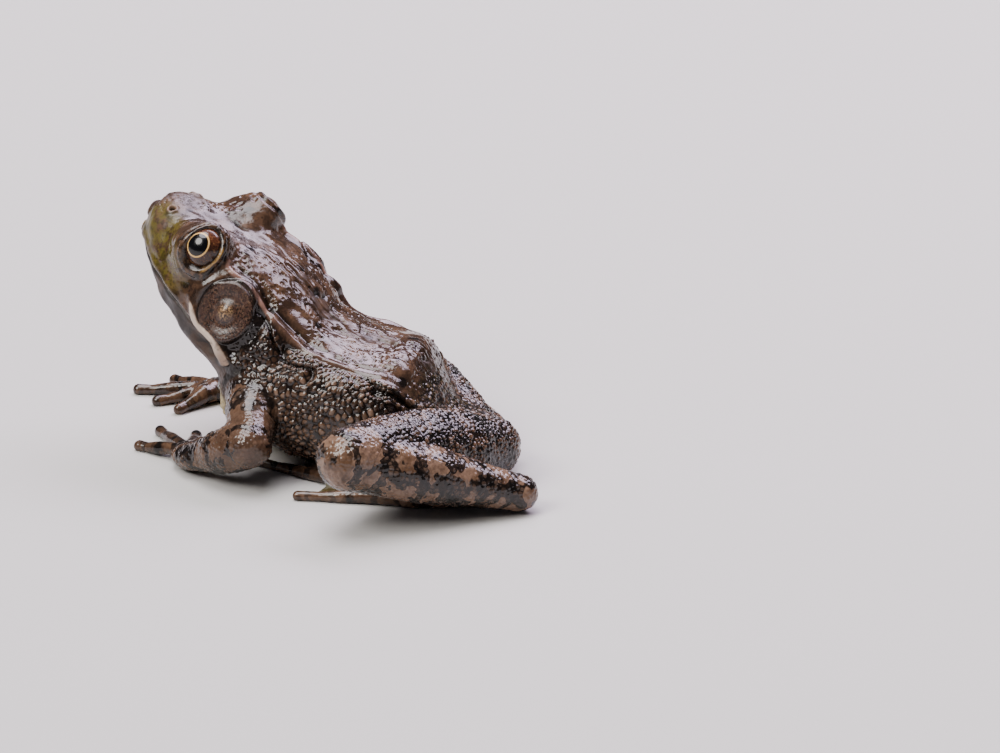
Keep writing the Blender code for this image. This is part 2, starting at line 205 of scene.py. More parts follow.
def chance(cells: Array, seed: int) -> Array:
    """A repeatable random number from 0 to 1 for each whole-numbered cell.

    Args:
        cells: Rows of whole numbers.
        seed: What sets one pattern apart from another.

    Returns:
        A number for each cell.
    """
    mixed = np.full(len(cells), seed * 7919 + 12345, dtype=np.int64)
    for column, prime in zip(cells.astype(np.int64).T, PRIMES):
        mixed = ((mixed ^ (column * prime)) & LOW_BITS) * SCRAMBLE & LOW_BITS
        mixed ^= mixed >> 15
    return mixed / float(LOW_BITS)


@dataclass(frozen=True)
class Pattern:
    """A repeatable pattern on points of two or three coordinates.

    Its size is one number or one for each coordinate. Jitter is how far a pebble may stray
    from its cell's middle, from 0 to 1.
    """

    size: Any
    seed: int
    octaves: int = 2
    jitter: float = 0.8
    finer: float = 2.03
    gap: float = 0.42
    dome: float = 0.72

    def cloud(self, places: Array) -> Array:
        """Smooth noise about zero, nearly all from -1 to 1.

        Args:
            places: Rows of two or three coordinates.

        Returns:
            Its value at each place.
        """
        total, weight = np.zeros(len(places)), 1.0
        for octave in range(self.octaves):
            spot = places / np.array(self.size) * self.finer**octave
            cell = np.floor(spot)
            part = spot - cell
            part = part * part * (3.0 - 2.0 * part)
            for corner in range(2 ** places.shape[1]):
                bits = np.array([corner >> k & 1 for k in range(places.shape[1])])
                share = np.where(bits, part, 1.0 - part).prod(axis=1)
                total += weight * share * (chance(cell + bits, self.seed + octave) * 2.0 - 1.0)
            weight *= 0.5
        return total * 1.1

    def creases(self, places: Array) -> Array:
        """Rounded folds with sharp valleys between them, from 0 to 1."""
        return np.clip(np.abs(self.cloud(places)) * 2.2, 0.0, 1.0) ** 0.7

    def pebbles(self, places: Array) -> tuple[Array, Array]:
        """Packed round grains.

        Args:
            places: N x D coordinates.

        Returns:
            The height of each place on its grain from 0 to 1, and its grain's own chance.
        """
        spot = places / np.array(self.size)
        spot[:, 0] = spot[:, 0] + 0.5 * (np.floor(spot[:, 1]) % 2)
        home = np.floor(spot)
        count, depth = spot.shape
        first, second = np.full(count, OUT_OF_REACH), np.full(count, OUT_OF_REACH)
        own = np.zeros(count)
        for k in range(3**depth):
            cell = home + np.array([k // 3**axis % 3 - 1 for axis in range(depth)])
            stray = [chance(cell, self.seed + 11 * axis) for axis in range(depth)]
            gap = cell + 0.5 + (np.stack(stray, axis=1) - 0.5) * self.jitter - spot
            gap[:, 0] -= 0.5 * ((cell[:, 1] % 2) - (home[:, 1] % 2))
            far = np.linalg.norm(gap, axis=1)
            closer = far < first
            second = np.where(closer, first, np.minimum(second, far))
            own = np.where(closer, chance(cell, self.seed + 91), own)
            first = np.where(closer, far, first)
        edge = smooth_step(0.0, self.gap, second - first)
        return edge * np.sqrt(np.clip(1.0 - (first / self.dome) ** 2, 0.0, 1.0)), own


# ---- the frog's form


@dataclass(frozen=True)
class HeadFrame:
    """The head's own axes: to its left, back from the eyes, and up over the crown."""

    pitch: float = math.radians(28.0)
    yaw: float = math.radians(-8.0)
    neck: Point = (0.0, -6.0, 0.0)
    eye_line: Point = (0.0, -23.5, 40.2)

    def turn(self) -> Array:
        """The head's turn to one side."""
        return np.array(Matrix.Rotation(self.yaw, 3, "Z"))

    def axes(self) -> Array:
        """The head's left, back and up directions as rows."""
        c, s = math.cos(self.pitch), math.sin(self.pitch)
        return np.array([[1.0, 0.0, 0.0], [0.0, c, -s], [0.0, s, c]]) @ self.turn().T

    def centre(self) -> Array:
        """The point midway between the eyes."""
        neck = np.array(self.neck)
        return neck + self.turn() @ (np.array(self.eye_line) - neck)

    def place(self, side: float, back: float, up: float) -> Array:
        """A place on the head, in the frog's frame."""
        return self.centre() + np.array([side, back, up]) @ self.axes()

    def local(self, points: Array) -> Array:
        """Points of the frog's frame on the head's own axes."""
        return (points - self.centre()) @ self.axes().T


@dataclass
class BodyPlaces:
    """Where points are in the body's own terms.

    The station counts the body's rows. Side and height are shares of the half-width and of the
    reach to the back or belly line, which are 1 at the skin. Beyond is the length past either
    end, and power is how square the oval is.
    """

    station: Array
    side: Array
    height: Array
    beyond: Array
    width: Array
    reach: Array
    power: Array


@dataclass
class Body:
    """Head and trunk as slanting ovals from snout to vent.

    Each row holds where the oval meets the back line and the belly line, its half-width, how
    far up it is widest, how square it is above and below there, and its turn in degrees.
    """

    head: HeadFrame
    head_rows: tuple = (
        ((-16.0, -4.6), (-15.6, -7.8), 2.2, 0.45, 2.0, 2.0),
        ((-14.9, -2.2), (-14.0, -10.8), 5.0, 0.42, 2.2, 2.0),
        ((-11.6, -0.5), (-10.8, -13.4), 7.8, 0.42, 2.4, 2.2),
        ((-6.5, 0.4), (-6.0, -15.9), 10.8, 0.414, 2.7, 2.3),
        ((0.5, 1.4), (0.5, -18.4), 13.6, 0.424, 3.0, 2.35),
        ((7.5, 2.2), (6.5, -20.2), 15.2, 0.46, 2.7, 2.35),
        ((14.0, 1.8), (12.0, -21.6), 15.8, 0.497, 2.45, 2.35),
        ((19.5, 0.4), (15.0, -23.6), 15.8, 0.523, 2.45, 2.3),
    )
    trunk_rows: tuple = (
        ((0.3, -2.0, 26.8), (-0.8, -20.0, 5.6), 16.4, 0.50, 2.6, 2.3, -5.0),
        ((0.0, 3.5, 24.2), (0.0, -10.0, 1.8), 17.6, 0.48, 2.8, 2.3, -2.0),
        ((0.0, 9.5, 23.0), (0.0, 1.0, 0.4), 18.0, 0.46, 2.8, 2.3, 1.0),
        ((-0.3, 15.6, 22.4), (-0.2, 11.0, -0.6), 16.4, 0.45, 2.45, 2.3, 5.0),
        ((-0.8, 19.2, 17.7), (-0.8, 18.0, -0.5), 13.2, 0.45, 2.2, 2.2, 8.0),
        ((-1.5, 23.0, 12.4), (-1.5, 23.0, 0.0), 9.8, 0.45, 2.1, 2.2, 11.0),
        ((-2.6, 29.0, 9.4), (-2.6, 28.8, 1.0), 7.0, 0.45, 2.0, 2.0, 12.0),
        ((-3.6, 34.0, 7.4), (-3.6, 33.8, 3.6), 3.0, 0.45, 2.0, 2.0, 12.0),
    )
    steps_per_row: int = 8
    lookup_step: float = 1.5
    margin: Point = (20.0, 6.0, 6.0)
    end_length: float = 0.9
    turning_depth: float = 3.0
    girth: float = 15.0

    def __post_init__(self) -> None:
        """Works out the fine stations and the table that finds a point's station."""
        yaw = math.degrees(self.head.yaw)
        rows = [
            [*self.head.place(0, *back), *self.head.place(0, *belly), *rest, yaw]
            for back, belly, *rest in self.head_rows
        ]
        rows += [[*back, *belly, *rest] for back, belly, *rest in self.trunk_rows]
        self.last = float(len(rows) - 1)
        self.at = np.linspace(0.0, self.last, int(self.last) * self.steps_per_row + 1)
        fine = catmull(np.array(rows), self.at)
        back, belly = fine[:, :3], fine[:, 3:6]
        self.width, widest, self.over, self.under, turn = fine[:, 6:].T
        self.rise = (back - belly) / np.linalg.norm(back - belly, axis=1)[:, None]
        self.middle = belly + (back - belly) * widest[:, None]
        self.top = np.linalg.norm(back - self.middle, axis=1)
        self.bottom = np.linalg.norm(belly - self.middle, axis=1)
        turn = np.radians(turn)
        self.across = np.stack([np.cos(turn), np.sin(turn), 0 * turn], axis=1)
        self.along = np.cross(self.rise, self.across)
        self.along *= np.sign(self.along[:, 1:2])
        steps = np.linalg.norm(np.diff(self.middle, axis=0), axis=1)
        self.arc = np.concatenate([[0.0], np.cumsum(steps)])
        self.low = np.minimum(back, belly).min(axis=0) - self.margin
        self.high = np.maximum(back, belly).max(axis=0) + self.margin
        self.table = self._station_table()

    def _station_table(self) -> Array:
        """The station of every point of a coarse lattice round the body.

        Returns:
            The stations, in the lattice's shape.
        """
        counts = np.ceil((self.high - self.low) / self.lookup_step).astype(int) + 1
        lattice = lattice_points(self.low, self.lookup_step, counts)
        ahead = lattice @ self.along.T - (self.middle * self.along).sum(axis=1)
        behind = ahead > 0
        first = np.where(behind.all(axis=1), len(self.at) - 1, np.argmin(behind, axis=1))
        first = np.maximum(first, 1)
        rows = np.arange(len(lattice))
        before, after = ahead[rows, first - 1], ahead[rows, first]
        share = before / np.where(np.abs(before - after) < TINY, TINY, before - after)
        station = (first - 1 + np.clip(share, -6.0, 7.0)) / self.steps_per_row
        return station.reshape(tuple(counts))

    def station(self, points: Array) -> Array:
        """Where along the body's rows each point lies.

        Args:
            points: N x 3 places.

        Returns:
            The station of each, counted in rows.
        """
        place = (points - self.low) / self.lookup_step
        place = np.clip(place, 0.0, np.array(self.table.shape) - 1.001)
        cell = place.astype(int)
        part = place - cell
        total = np.zeros(len(points))
        for corner in range(8):
            bits = np.array([corner >> axis & 1 for axis in range(3)])
            weight = np.where(bits, part, 1.0 - part).prod(axis=1)
            i, j, k = (cell + bits).T
            total += weight * self.table[i, j, k]
        return total

    def places(self, points: Array) -> BodyPlaces:
        """Where points of the frog's frame are in the body's own terms.

        Args:
            points: N x 3 places.

        Returns:
            Their stations, and their offsets from the body's middle line.
        """
        station = self.station(points)
        at = np.clip(station, 0.0, self.last)

        def read(values: Array) -> Array:
            """One of the body's values at each point's station."""
            if values.ndim == 1:
                return np.interp(at, self.at, values)
            return np.stack([np.interp(at, self.at, column) for column in values.T], axis=1)

        offset = points - read(self.middle)
        sideways = (offset * read(self.across)).sum(axis=1)
        height = (offset * read(self.rise)).sum(axis=1)
        reach = np.where(height > 0, read(self.top), read(self.bottom))
        power = np.where(height > 0, read(self.over), read(self.under))
        beyond = np.abs((offset * read(self.along)).sum(axis=1))
        beyond = np.where((station < 0) | (station > self.last), beyond, 0.0)
        width = read(self.width)
        return BodyPlaces(station, sideways / width, height / reach, beyond, width, reach, power)

    def distance(self, points: Array) -> Array:
        """Nearly the distance from points to the body's skin.

        Args:
            points: N x 3 places.

        Returns:
            The distance of each, below zero inside.
        """
        here = self.places(points)
        side, height = np.abs(here.side) + 1e-6, np.abs(here.height) + 1e-6
        power = here.power
        total = side**power + height**power + (here.beyond / self.end_length) ** 2.0
        size = total ** (1.0 / power)
        slope_side = (side / size) ** (power - 1) / here.width
        slope_height = (height / size) ** (power - 1) / here.reach
        slope = np.sqrt(slope_side**2 + slope_height**2)
        return (size - 1.0) / np.maximum(slope, 1.0 / np.maximum(here.width, here.reach))

    def flow(self, points: Array) -> tuple[Array, Array]:
        """How far along the body each point lies, and how far round it from the back line.

        Args:
            points: N x 3 places.

        Returns:
            The two lengths for each point.
        """
        here = self.places(points)
        along = np.interp(here.station, self.at, self.arc)
        angle = np.arctan2(here.side * here.width, here.height * here.reach + self.turning_depth)
        return along, angle * self.girth


class Boxed:
    """A piece with an upright box round it."""

    low: Array
    high: Array

    def near(self, points: Array, margin: float) -> Array:
        """Which points are in the piece's box, grown by a margin."""
        return box_mask(points, self.low, self.high, margin)


@dataclass
class Taper(Boxed):
    """A round-ended piece of a limb or digit along a path, with its radius at each corner."""

    path: Sequence[Any]
    radii: Sequence[float]
    flat: float = 1.0

    def __post_init__(self) -> None:
        """Keeps the path and radii as arrays, and finds its box."""
        self.path = np.array(self.path, dtype=float)
        self.radii = np.array(self.radii, dtype=float)
        if len(self.path) == 2 and len(self.radii) > 2:
            t = np.linspace(0.0, 1.0, len(self.radii))[:, None]
            self.path = self.path[0] + (self.path[1] - self.path[0]) * t
        self.low = self.path.min(axis=0) - self.radii.max()
        self.high = self.path.max(axis=0) + self.radii.max()

    def distance(self, points: Array) -> Array:
        """The distance from points to its skin.

        Args:
            points: N x 3 places.

        Returns:
            The distance of each, below zero inside.
        """
        best = np.full(len(points), FAR)
        for k in range(len(self.path) - 1):
            start, step = self.path[k], self.path[k + 1] - self.path[k]
            offset = points - start
            t = np.clip(offset @ step / (step @ step), 0.0, 1.0)
            radius = self.radii[k] + (self.radii[k + 1] - self.radii[k]) * t
            gap = offset - t[:, None] * step
            gap[:, 2] /= self.flat
            best = np.minimum(best, np.linalg.norm(gap, axis=1) - radius)
        return best


@dataclass
class Web(Boxed):
    """The thin skin between two toes, with a free edge that dips in between their tips."""

    root: Array
    first: Array
    second: Array
    dip: float = 0.36
    thickness: float = 0.42
    height: float = 0.62
    ceiling: float = 1.5

    def __post_init__(self) -> None:
        """Lays the web's corners out flat, and finds its box."""
        corners = np.array([self.root, self.first, self.second], dtype=float)[:, :2]
        self.root, self.first, self.second = corners
        self.low = np.append(corners.min(axis=0), 0.0)
        self.high = np.append(corners.max(axis=0), self.ceiling)

    def distance(self, points: Array) -> Array:
        """Nearly the distance from points to the web.

        Args:
            points: N x 3 places.

        Returns:
            The distance of each, below zero inside.
        """
        flat = points[:, :2]
        corners = [self.root, self.first, self.second]
        turn = np.sign(np.cross(corners[1] - corners[0], corners[2] - corners[0]))

        def outward(edge: Array) -> Array:
            """The level direction out of the web across one of its edges."""
            return np.array([edge[1], -edge[0]]) / np.linalg.norm(edge) * turn

        outside = np.full(len(points), -FAR)
        for start, end in zip(corners, corners[1:] + corners[:1]):
            outside = np.maximum(outside, (flat - start) @ outward(end - start))
        chord = self.second - self.first
        span = np.linalg.norm(chord)
        sagitta = self.dip * span
        radius = (span * span / 4 + sagitta * sagitta) / (2 * sagitta)
        hollow = (self.first + self.second) / 2 + outward(chord) * (radius - sagitta)
        outside = np.maximum(outside, radius - np.linalg.norm(flat - hollow, axis=1))
        return np.maximum(outside, np.abs(points[:, 2] - self.height) - self.thickness)


Joined = list[tuple[Any, float]]


@dataclass
class Limb:
    """What fore and hind limbs share: digits that lie on the floor in a fan."""

    side: Side
    turn: float

    def towards(self, angle: float) -> Array:
        """A level direction: forwards, turned outwards by an angle."""
        return np.array([math.sin(angle) * self.side.value, -math.cos(angle), 0.0])

    def laid(
        self, root: Array, way: Array, stations: Sequence[float], heights: Sequence[float]
    ) -> list[Array]:
        """A digit's middle line.

        Args:
            root: Where it starts.
            way: The whole way to its tip.
            stations: The shares of the way that its corners are at.
            heights: The height of each corner above the floor.

        Returns:
            Its corners.
        """
        path = [root + way * t for t in stations]
        for point, high in zip(path, heights):
            point[2] = high
        return path


@dataclass
class Arm(Limb):
    """One foreleg: upper arm, forearm, palm and four fingers."""

    shoulder: Point
    elbow: Point
    wrist: Point
    upper_radii: tuple = (5.0, 5.2, 4.6, 4.2)
    fore_radii: tuple = (4.0, 4.6, 4.2, 3.2, 2.5)
    palm_radii: tuple = (2.4, 3.6, 3.4)
    palm_length: float = 5.6
    palm_height: float = 1.9
    palm_flat: float = 0.62
    palm_widest: float = 0.55
    fingers: tuple = ((-44.0, 9.6), (-14.0, 11.0), (12.0, 14.6), (44.0, 10.6))
    finger_root: float = 1.4
    finger_stations: tuple = (0.0, 0.3, 0.55, 0.82, 1.0)
    finger_heights: tuple = (1.9, 2.1, 1.5, 1.0, 0.8)
    finger_radii: tuple = (1.5, 1.15, 1.3, 0.95, 1.15)
    thumb_radii: tuple = (2.0, 1.9, 1.6, 1.1, 1.1)
    softness: tuple = (2.6, 1.4, 1.6, 0.8)

    def palm_end(self) -> Array:
        """Where the fingers fan out.

        Returns:
            Its place.
        """
        end = np.array(self.wrist) + self.towards(self.turn) * self.palm_length
        end[2] = self.palm_height
        return end

    def digits(self) -> list[Taper]:
        """The fingers, thumb side first.

        Returns:
            A taper for each finger.
        """
        made = []
        for angle, length in self.fingers:
            way = self.towards(self.turn + math.radians(angle))
            root = self.palm_end() + way * self.finger_root
            path = self.laid(root, way * length, self.finger_stations, self.finger_heights)
            made.append(Taper(path, self.finger_radii if made else self.thumb_radii))
        return made

    def pieces(self) -> Joined:
        """Every piece with the softness of its join to what is before it.

        Returns:
            Pairs of a piece and a softness.
        """
        upper, fore, palm, digit = self.softness
        wrist, end = np.array(self.wrist), self.palm_end()
        palm_path = [wrist, wrist + (end - wrist) * self.palm_widest, end]
        made = [
            (Taper([self.shoulder, self.elbow], self.upper_radii), upper),
            (Taper([self.elbow, self.wrist], self.fore_radii), fore),
            (Taper(palm_path, self.palm_radii, self.palm_flat), palm),
        ]
        return made + [(finger, digit) for finger in self.digits()]


@dataclass
class Leg(Limb):
    """One hind leg: thigh, shank, tarsus and a long foot with five webbed toes."""

    hip: Point
    knee: Point
    heel: Point
    instep: Point
    thigh_radii: tuple
    shank_radii: tuple = (5.0, 5.8, 5.4, 4.2, 3.4)
    tarsus_radii: tuple = (3.0, 2.7, 2.8)
    toes: tuple = ((-30.0, 15.0), (-21.0, 21.0), (-11.0, 28.0), (0.0, 38.5), (27.0, 21.5))
    toe_root: float = 1.5
    toe_stations: tuple = (0.0, 0.2, 0.4, 0.6, 0.8, 1.0)
    toe_heights: tuple = (2.0, 1.7, 1.4, 1.1, 0.9, 0.8)
    toe_radii: tuple = (2.1, 1.7, 1.3, 1.25, 0.9, 1.0)
    web_reach: tuple = (0.80, 0.80, 0.76, 0.72, 0.90)
    softness: tuple = (1.6, 0.6, 0.9, 0.7, 0.5)

    def toe_path(self, angle: float, length: float) -> list[Array]:
        """The middle line of one toe, from the instep to its tip.

        Args:
            angle: How far it is turned from the foot's own line.
            length: How long it is.

        Returns:
            Its corners.
        """
        way = self.towards(math.radians(angle) - self.turn)
        root = np.array(self.instep) + way * self.toe_root
        return self.laid(root, way * (length - self.toe_root), self.toe_stations, self.toe_heights)

    def pieces(self) -> Joined:
        """Every piece with the softness of its join to what is before it.

        Returns:
            Pairs of a piece and a softness.
        """
        thigh, shank, tarsus, toe, web = self.softness
        made = [
            (Taper([self.hip, self.knee], self.thigh_radii), thigh),
            (Taper([self.knee, self.heel], self.shank_radii), shank),
            (Taper([self.heel, self.instep], self.tarsus_radii), tarsus),
        ]
        paths = [self.toe_path(*row) for row in self.toes]
        made += [(Taper(path, self.toe_radii), toe) for path in paths]
        ends = [path[0] + (path[-1] - path[0]) * t for path, t in zip(paths, self.web_reach)]
        return made + [(Web(self.instep, *pair), web) for pair in zip(ends, ends[1:])]


@dataclass
class Ridge:
    """A fold or groove of the skin along a path."""

    path: Array
    height: float
    width: float
    taper: tuple[float, float]
    swell: float = 0.0
    reach: float = 2.6

    def nearness(self, points: Array) -> Array:
        """How near each point is to the fold, from 0 to 1 on its crest.

        Args:
            points: N x 3 places.

        Returns:
            The nearness of each.
        """
        raised = np.zeros(len(points))
        reach = self.width * (1.0 + self.swell) * self.reach
        near = box_mask(points, self.path.min(axis=0), self.path.max(axis=0), reach)
        if near.any():
            gap, along = path_distance(points[near], self.path)
            width = self.width * (1.0 + self.swell * along**2)
            ends = smooth_step(0.0, self.taper[0], along)
            ends = ends * smooth_step(0.0, self.taper[1], 1.0 - along)
            raised[near] = bell(gap, width) * ends
        return raised

    def lift(self, points: Array) -> Array:
        """How far it raises each point."""
        return self.height * self.nearness(points)


@dataclass(frozen=True)
class Swelling:
    """A soft rise or hollow of the head's skin, on both sides at once."""

    centre: Point
    radii: Point
    height: float

    def lift(self, folded: Array) -> Array:
        """How far it raises each point, given on the left side."""
        spot = (folded - np.array(self.centre)) / np.array(self.radii)
        return self.height * bell(np.linalg.norm(spot, axis=1), 1.0)


@dataclass(frozen=True)
class EyeSocket:
    """An eyeball's place on the head, and the lids round it, for both sides at once."""

    centre: Point = (9.5, 0.5, 0.1)
    facing: Point = (1.0, 0.0, 0.5)
    radius: float = 4.45
    lid: float = 0.5
    lid_front: float = 37.0
    lid_rear: float = 49.0
    lid_top: float = 60.0
    lid_bottom: float = 60.0
    lid_folds: tuple = ((0.20, 7.0, 5.0), (-0.24, 17.0, 4.0), (0.05, 26.0, 4.0), (-0.07, 35.0, 4.0))
    depth: float = 0.7
    edge: float = 0.4
    brow_centre: Point = (8.4, -0.5, -1.7)
    brow_radii: Point = (6.0, 6.2, 5.4)
    brow_fillet: float = 2.0
    lid_fillet: float = 0.9

    def axes(self) -> Array:
        """The eye's outward, backward and upward directions on the left, as rows.

        Returns:
            Three rows of unit length.
        """
        out = unit(self.facing)
        up = np.array([0.0, 0.0, 1.0])
        up = unit(up - out * (up @ out))
        return np.array([out, np.cross(up, out), up])

    def polar(self, local: Array) -> tuple[Array, Array, Array]:
        """Each point's distance from the nearer eye, and two directions seen from it.

        Args:
            local: Points on the head's own axes.

        Returns:
            The distance, the angle in degrees past the lids' edge, and the bearing round the
            eye in degrees from its rear towards its bottom.
        """
        out, back, up = ((on_left(local) - np.array(self.centre)) @ self.axes().T).T
        far = np.sqrt(out**2 + back**2 + up**2) + TINY
        angle = np.degrees(np.arccos(np.clip(out / far, -1.0, 1.0)))
        round_it = np.sqrt(back**2 + up**2) + TINY
        wide = np.where(back > 0, self.lid_rear, self.lid_front)
        tall = np.where(up > 0, self.lid_top, self.lid_bottom)
        edge = 1.0 / np.sqrt((back / round_it / wide) ** 2 + (up / round_it / tall) ** 2)
        return far, angle - edge, np.degrees(np.arctan2(-up, back))

    def off_lid(self, far: Array) -> Array:
        """How far points are from the lids' outer skin, from their distance to the eye."""
        return np.abs(far - self.radius - self.lid)

    def close(self, local: Array, shape: Array) -> Array:
        """The head with the swellings that hold its eyes.

        Args:
            local: Places in the head's frame.
            shape: The distance to the head.

        Returns:
            The new distance.
        """
        folded = on_left(local)
        brow = ellipsoid(folded, self.brow_centre, self.brow_radii)
        shape = merged(shape, brow, self.brow_fillet)
        far = np.linalg.norm(folded - np.array(self.centre), axis=1)
        return merged(shape, far - self.radius - self.lid, self.lid_fillet)

    def open(self, local: Array, shape: Array) -> Array:
        """The head with the lids parted over the eyeball.

        Args:
            local: Places in the head's frame.
            shape: The distance to the head.

        Returns:
            The new distance.
        """
        far, past, _ = self.polar(local)
        cutter = np.maximum(np.radians(past) * far, (self.radius - self.depth) - far)
        return carved(shape, cutter, self.edge)

    def lift(self, local: Array) -> Array:
        """The lids' thick edges and the folds beyond them."""
        far, past, _ = self.polar(local)
        return bells(past, self.lid_folds) * smooth_step(3.2, 1.2, self.off_lid(far))


@dataclass(frozen=True)
class Eardrum:
    """A flat disc with a thin rim and a raised middle, for both sides at once."""

    centre: Point = (14.3, 11.4, -5.4)
    facing: Point = (1.0, -0.05, 0.36)
    radius: float = 6.1
    shape: tuple[float, float] = (1.13, 0.98)
    rise: float = 0.30
    middle: Point = (0.5, 0.2, 1.3)
    hollow: Point = (-0.30, 2.9, 1.3)
    rim: tuple = ((-0.08, -0.5, 0.4), (0.34, 0.35, 0.38))
    collar: Point = (0.9, 1.9, 1.25)
    thick: float = 4.0

    def polar(self, local: Array) -> tuple[Array, Array, Array]:
        """Where each point is on the nearer eardrum.

        Args:
            local: Points on the head's own axes.

        Returns:
            The distance from its axis, the height along the axis, and how far behind and
            above the middle the point is.
        """
        facing = unit(self.facing)
        offset = on_left(local) - np.array(self.centre)
        height = offset @ facing
        out, back, up = (offset - height[:, None] * facing).T
        radius = np.sqrt(out**2 + (back * self.shape[0]) ** 2 + (up * self.shape[1]) ** 2)
        return radius, height, offset[:, 1] - 0.35 * offset[:, 2]

    def change(self, local: Array, shape: Array) -> Array:
        """What the eardrums add to the distance to the head.

        Args:
            local: Places in the head's frame.
            shape: The distance to the head.

        Returns:
            What to add to it.
        """
        radius, height, behind = self.polar(local)
        past, near = radius - self.radius, np.abs(height) < self.thick
        disc = height - self.rise - bells(radius, (self.middle, self.hollow))
        change = (disc - shape) * smooth_step(0.7, -0.7, past)
        change += bells(past, self.rim)
        return near * (change + bells(past, (self.collar,)) * smooth_step(-3.0, 3.5, behind))


@dataclass(frozen=True)
class Nostril:
    """A pit with a low rim, for both sides at once."""

    centre: Point = (4.3, -11.1, -1.25)
    way: Point = (0.0, 0.0, 1.0)
    folds: tuple = ((0.55, 0.90, 0.42), (-1.5, 0.0, 0.5))
    depth: float = 3.0

    def gap(self, local: Array) -> Array:
        """How far each point is from the nearer nostril's axis.

        Args:
            local: Places in the head's frame.

        Returns:
            The gap for each.
        """
        offset = on_left(local) - np.array(self.centre)
        depth = offset @ np.array(self.way)
        aside = np.linalg.norm(offset - depth[:, None] * np.array(self.way), axis=1)
        return np.where(np.abs(depth) < self.depth, aside, OUT_OF_REACH)


@dataclass(frozen=True)
class Mouth:
    """The line between the lips, by how far back it is and how high, and its folds."""

    front: tuple[float, float] = (-16.0, -9.6)
    corner: tuple[float, float] = (13.6, -12.0)
    folds: tuple = ((-0.55, 0.0, 0.28), (0.30, 0.9, 0.8), (-0.30, -2.0, 1.4))

    def above(self, local: Array) -> tuple[Array, Array]:
        """How far above the mouth each point is, and how far it is within the mouth's length.

        Args:
            local: Places in the head's frame.

        Returns:
            The height of each, and a share from 0 to 1.
        """
        slope = (self.corner[1] - self.front[1]) / (self.corner[0] - self.front[0])
        line = self.front[1] + slope * (local[:, 1] - self.front[0])
        end = self.corner[0]
        return local[:, 2] - line, smooth_step(end + 0.3, end - 1.0, local[:, 1])


@dataclass(frozen=True)
class SkinLines:
    """The fold down each side of the back, and the pale stripe of each upper lip."""

    fold_head: tuple = ((9.6, 4.9, 1.4), (10.7, 6.6, 0.2), (11.8, 13.6, 0.9), (12.3, 18.9, -0.5))
    fold_trunk: tuple = (
        (12.0, -3.8, 26.2),
        (12.0, -0.1, 22.9),
        (11.0, 6.9, 19.4),
        (10.0, 12.3, 18.4),
        (8.9, 17.5, 17.0),
    )
    fold_shift: tuple = ((Side.LEFT, 0.0), (Side.RIGHT, -0.8))
    fold_size: tuple[float, float] = (0.85, 0.85)
    fold_taper: tuple[float, float] = (0.05, 0.3)
    stripe: tuple = (
        (14.2, 2.6, -6.4),
        (14.9, 5.2, -8.9),
        (15.4, 7.9, -10.7),
        (15.6, 10.3, -11.0),
        (15.8, 12.7, -11.5),
        (15.7, 14.7, -12.5),
        (15.6, 16.3, -13.3),
        (15.6, 17.3, -14.2),
    )
    stripe_size: tuple[float, float] = (1.0, 0.74)
    stripe_taper: tuple[float, float] = (0.2, 0.08)
    stripe_swell: float = 1.3

    def build(self, form: "Form") -> tuple[list[Ridge], list[Ridge]]:
        """Lays the lines on the frog.

        Args:
            form: The frog.

        Returns:
            The folds and the stripes, left before right.
        """
        folds, stripes = [], []
        for side, shift in self.fold_shift:
            sign = side.value
            path = [form.head.place(a * sign, b, c) for a, b, c in self.fold_head]
            path += [np.array([shift + a * sign, b, c]) for a, b, c in self.fold_trunk]
            folds.append(Ridge(form.on_surface(path), *self.fold_size, self.fold_taper))
            path = [form.head.place(a * sign, b, c) for a, b, c in self.stripe]
            laid = form.on_surface(path)
            stripes.append(Ridge(laid, *self.stripe_size, self.stripe_taper, self.stripe_swell))
        return folds, stripes


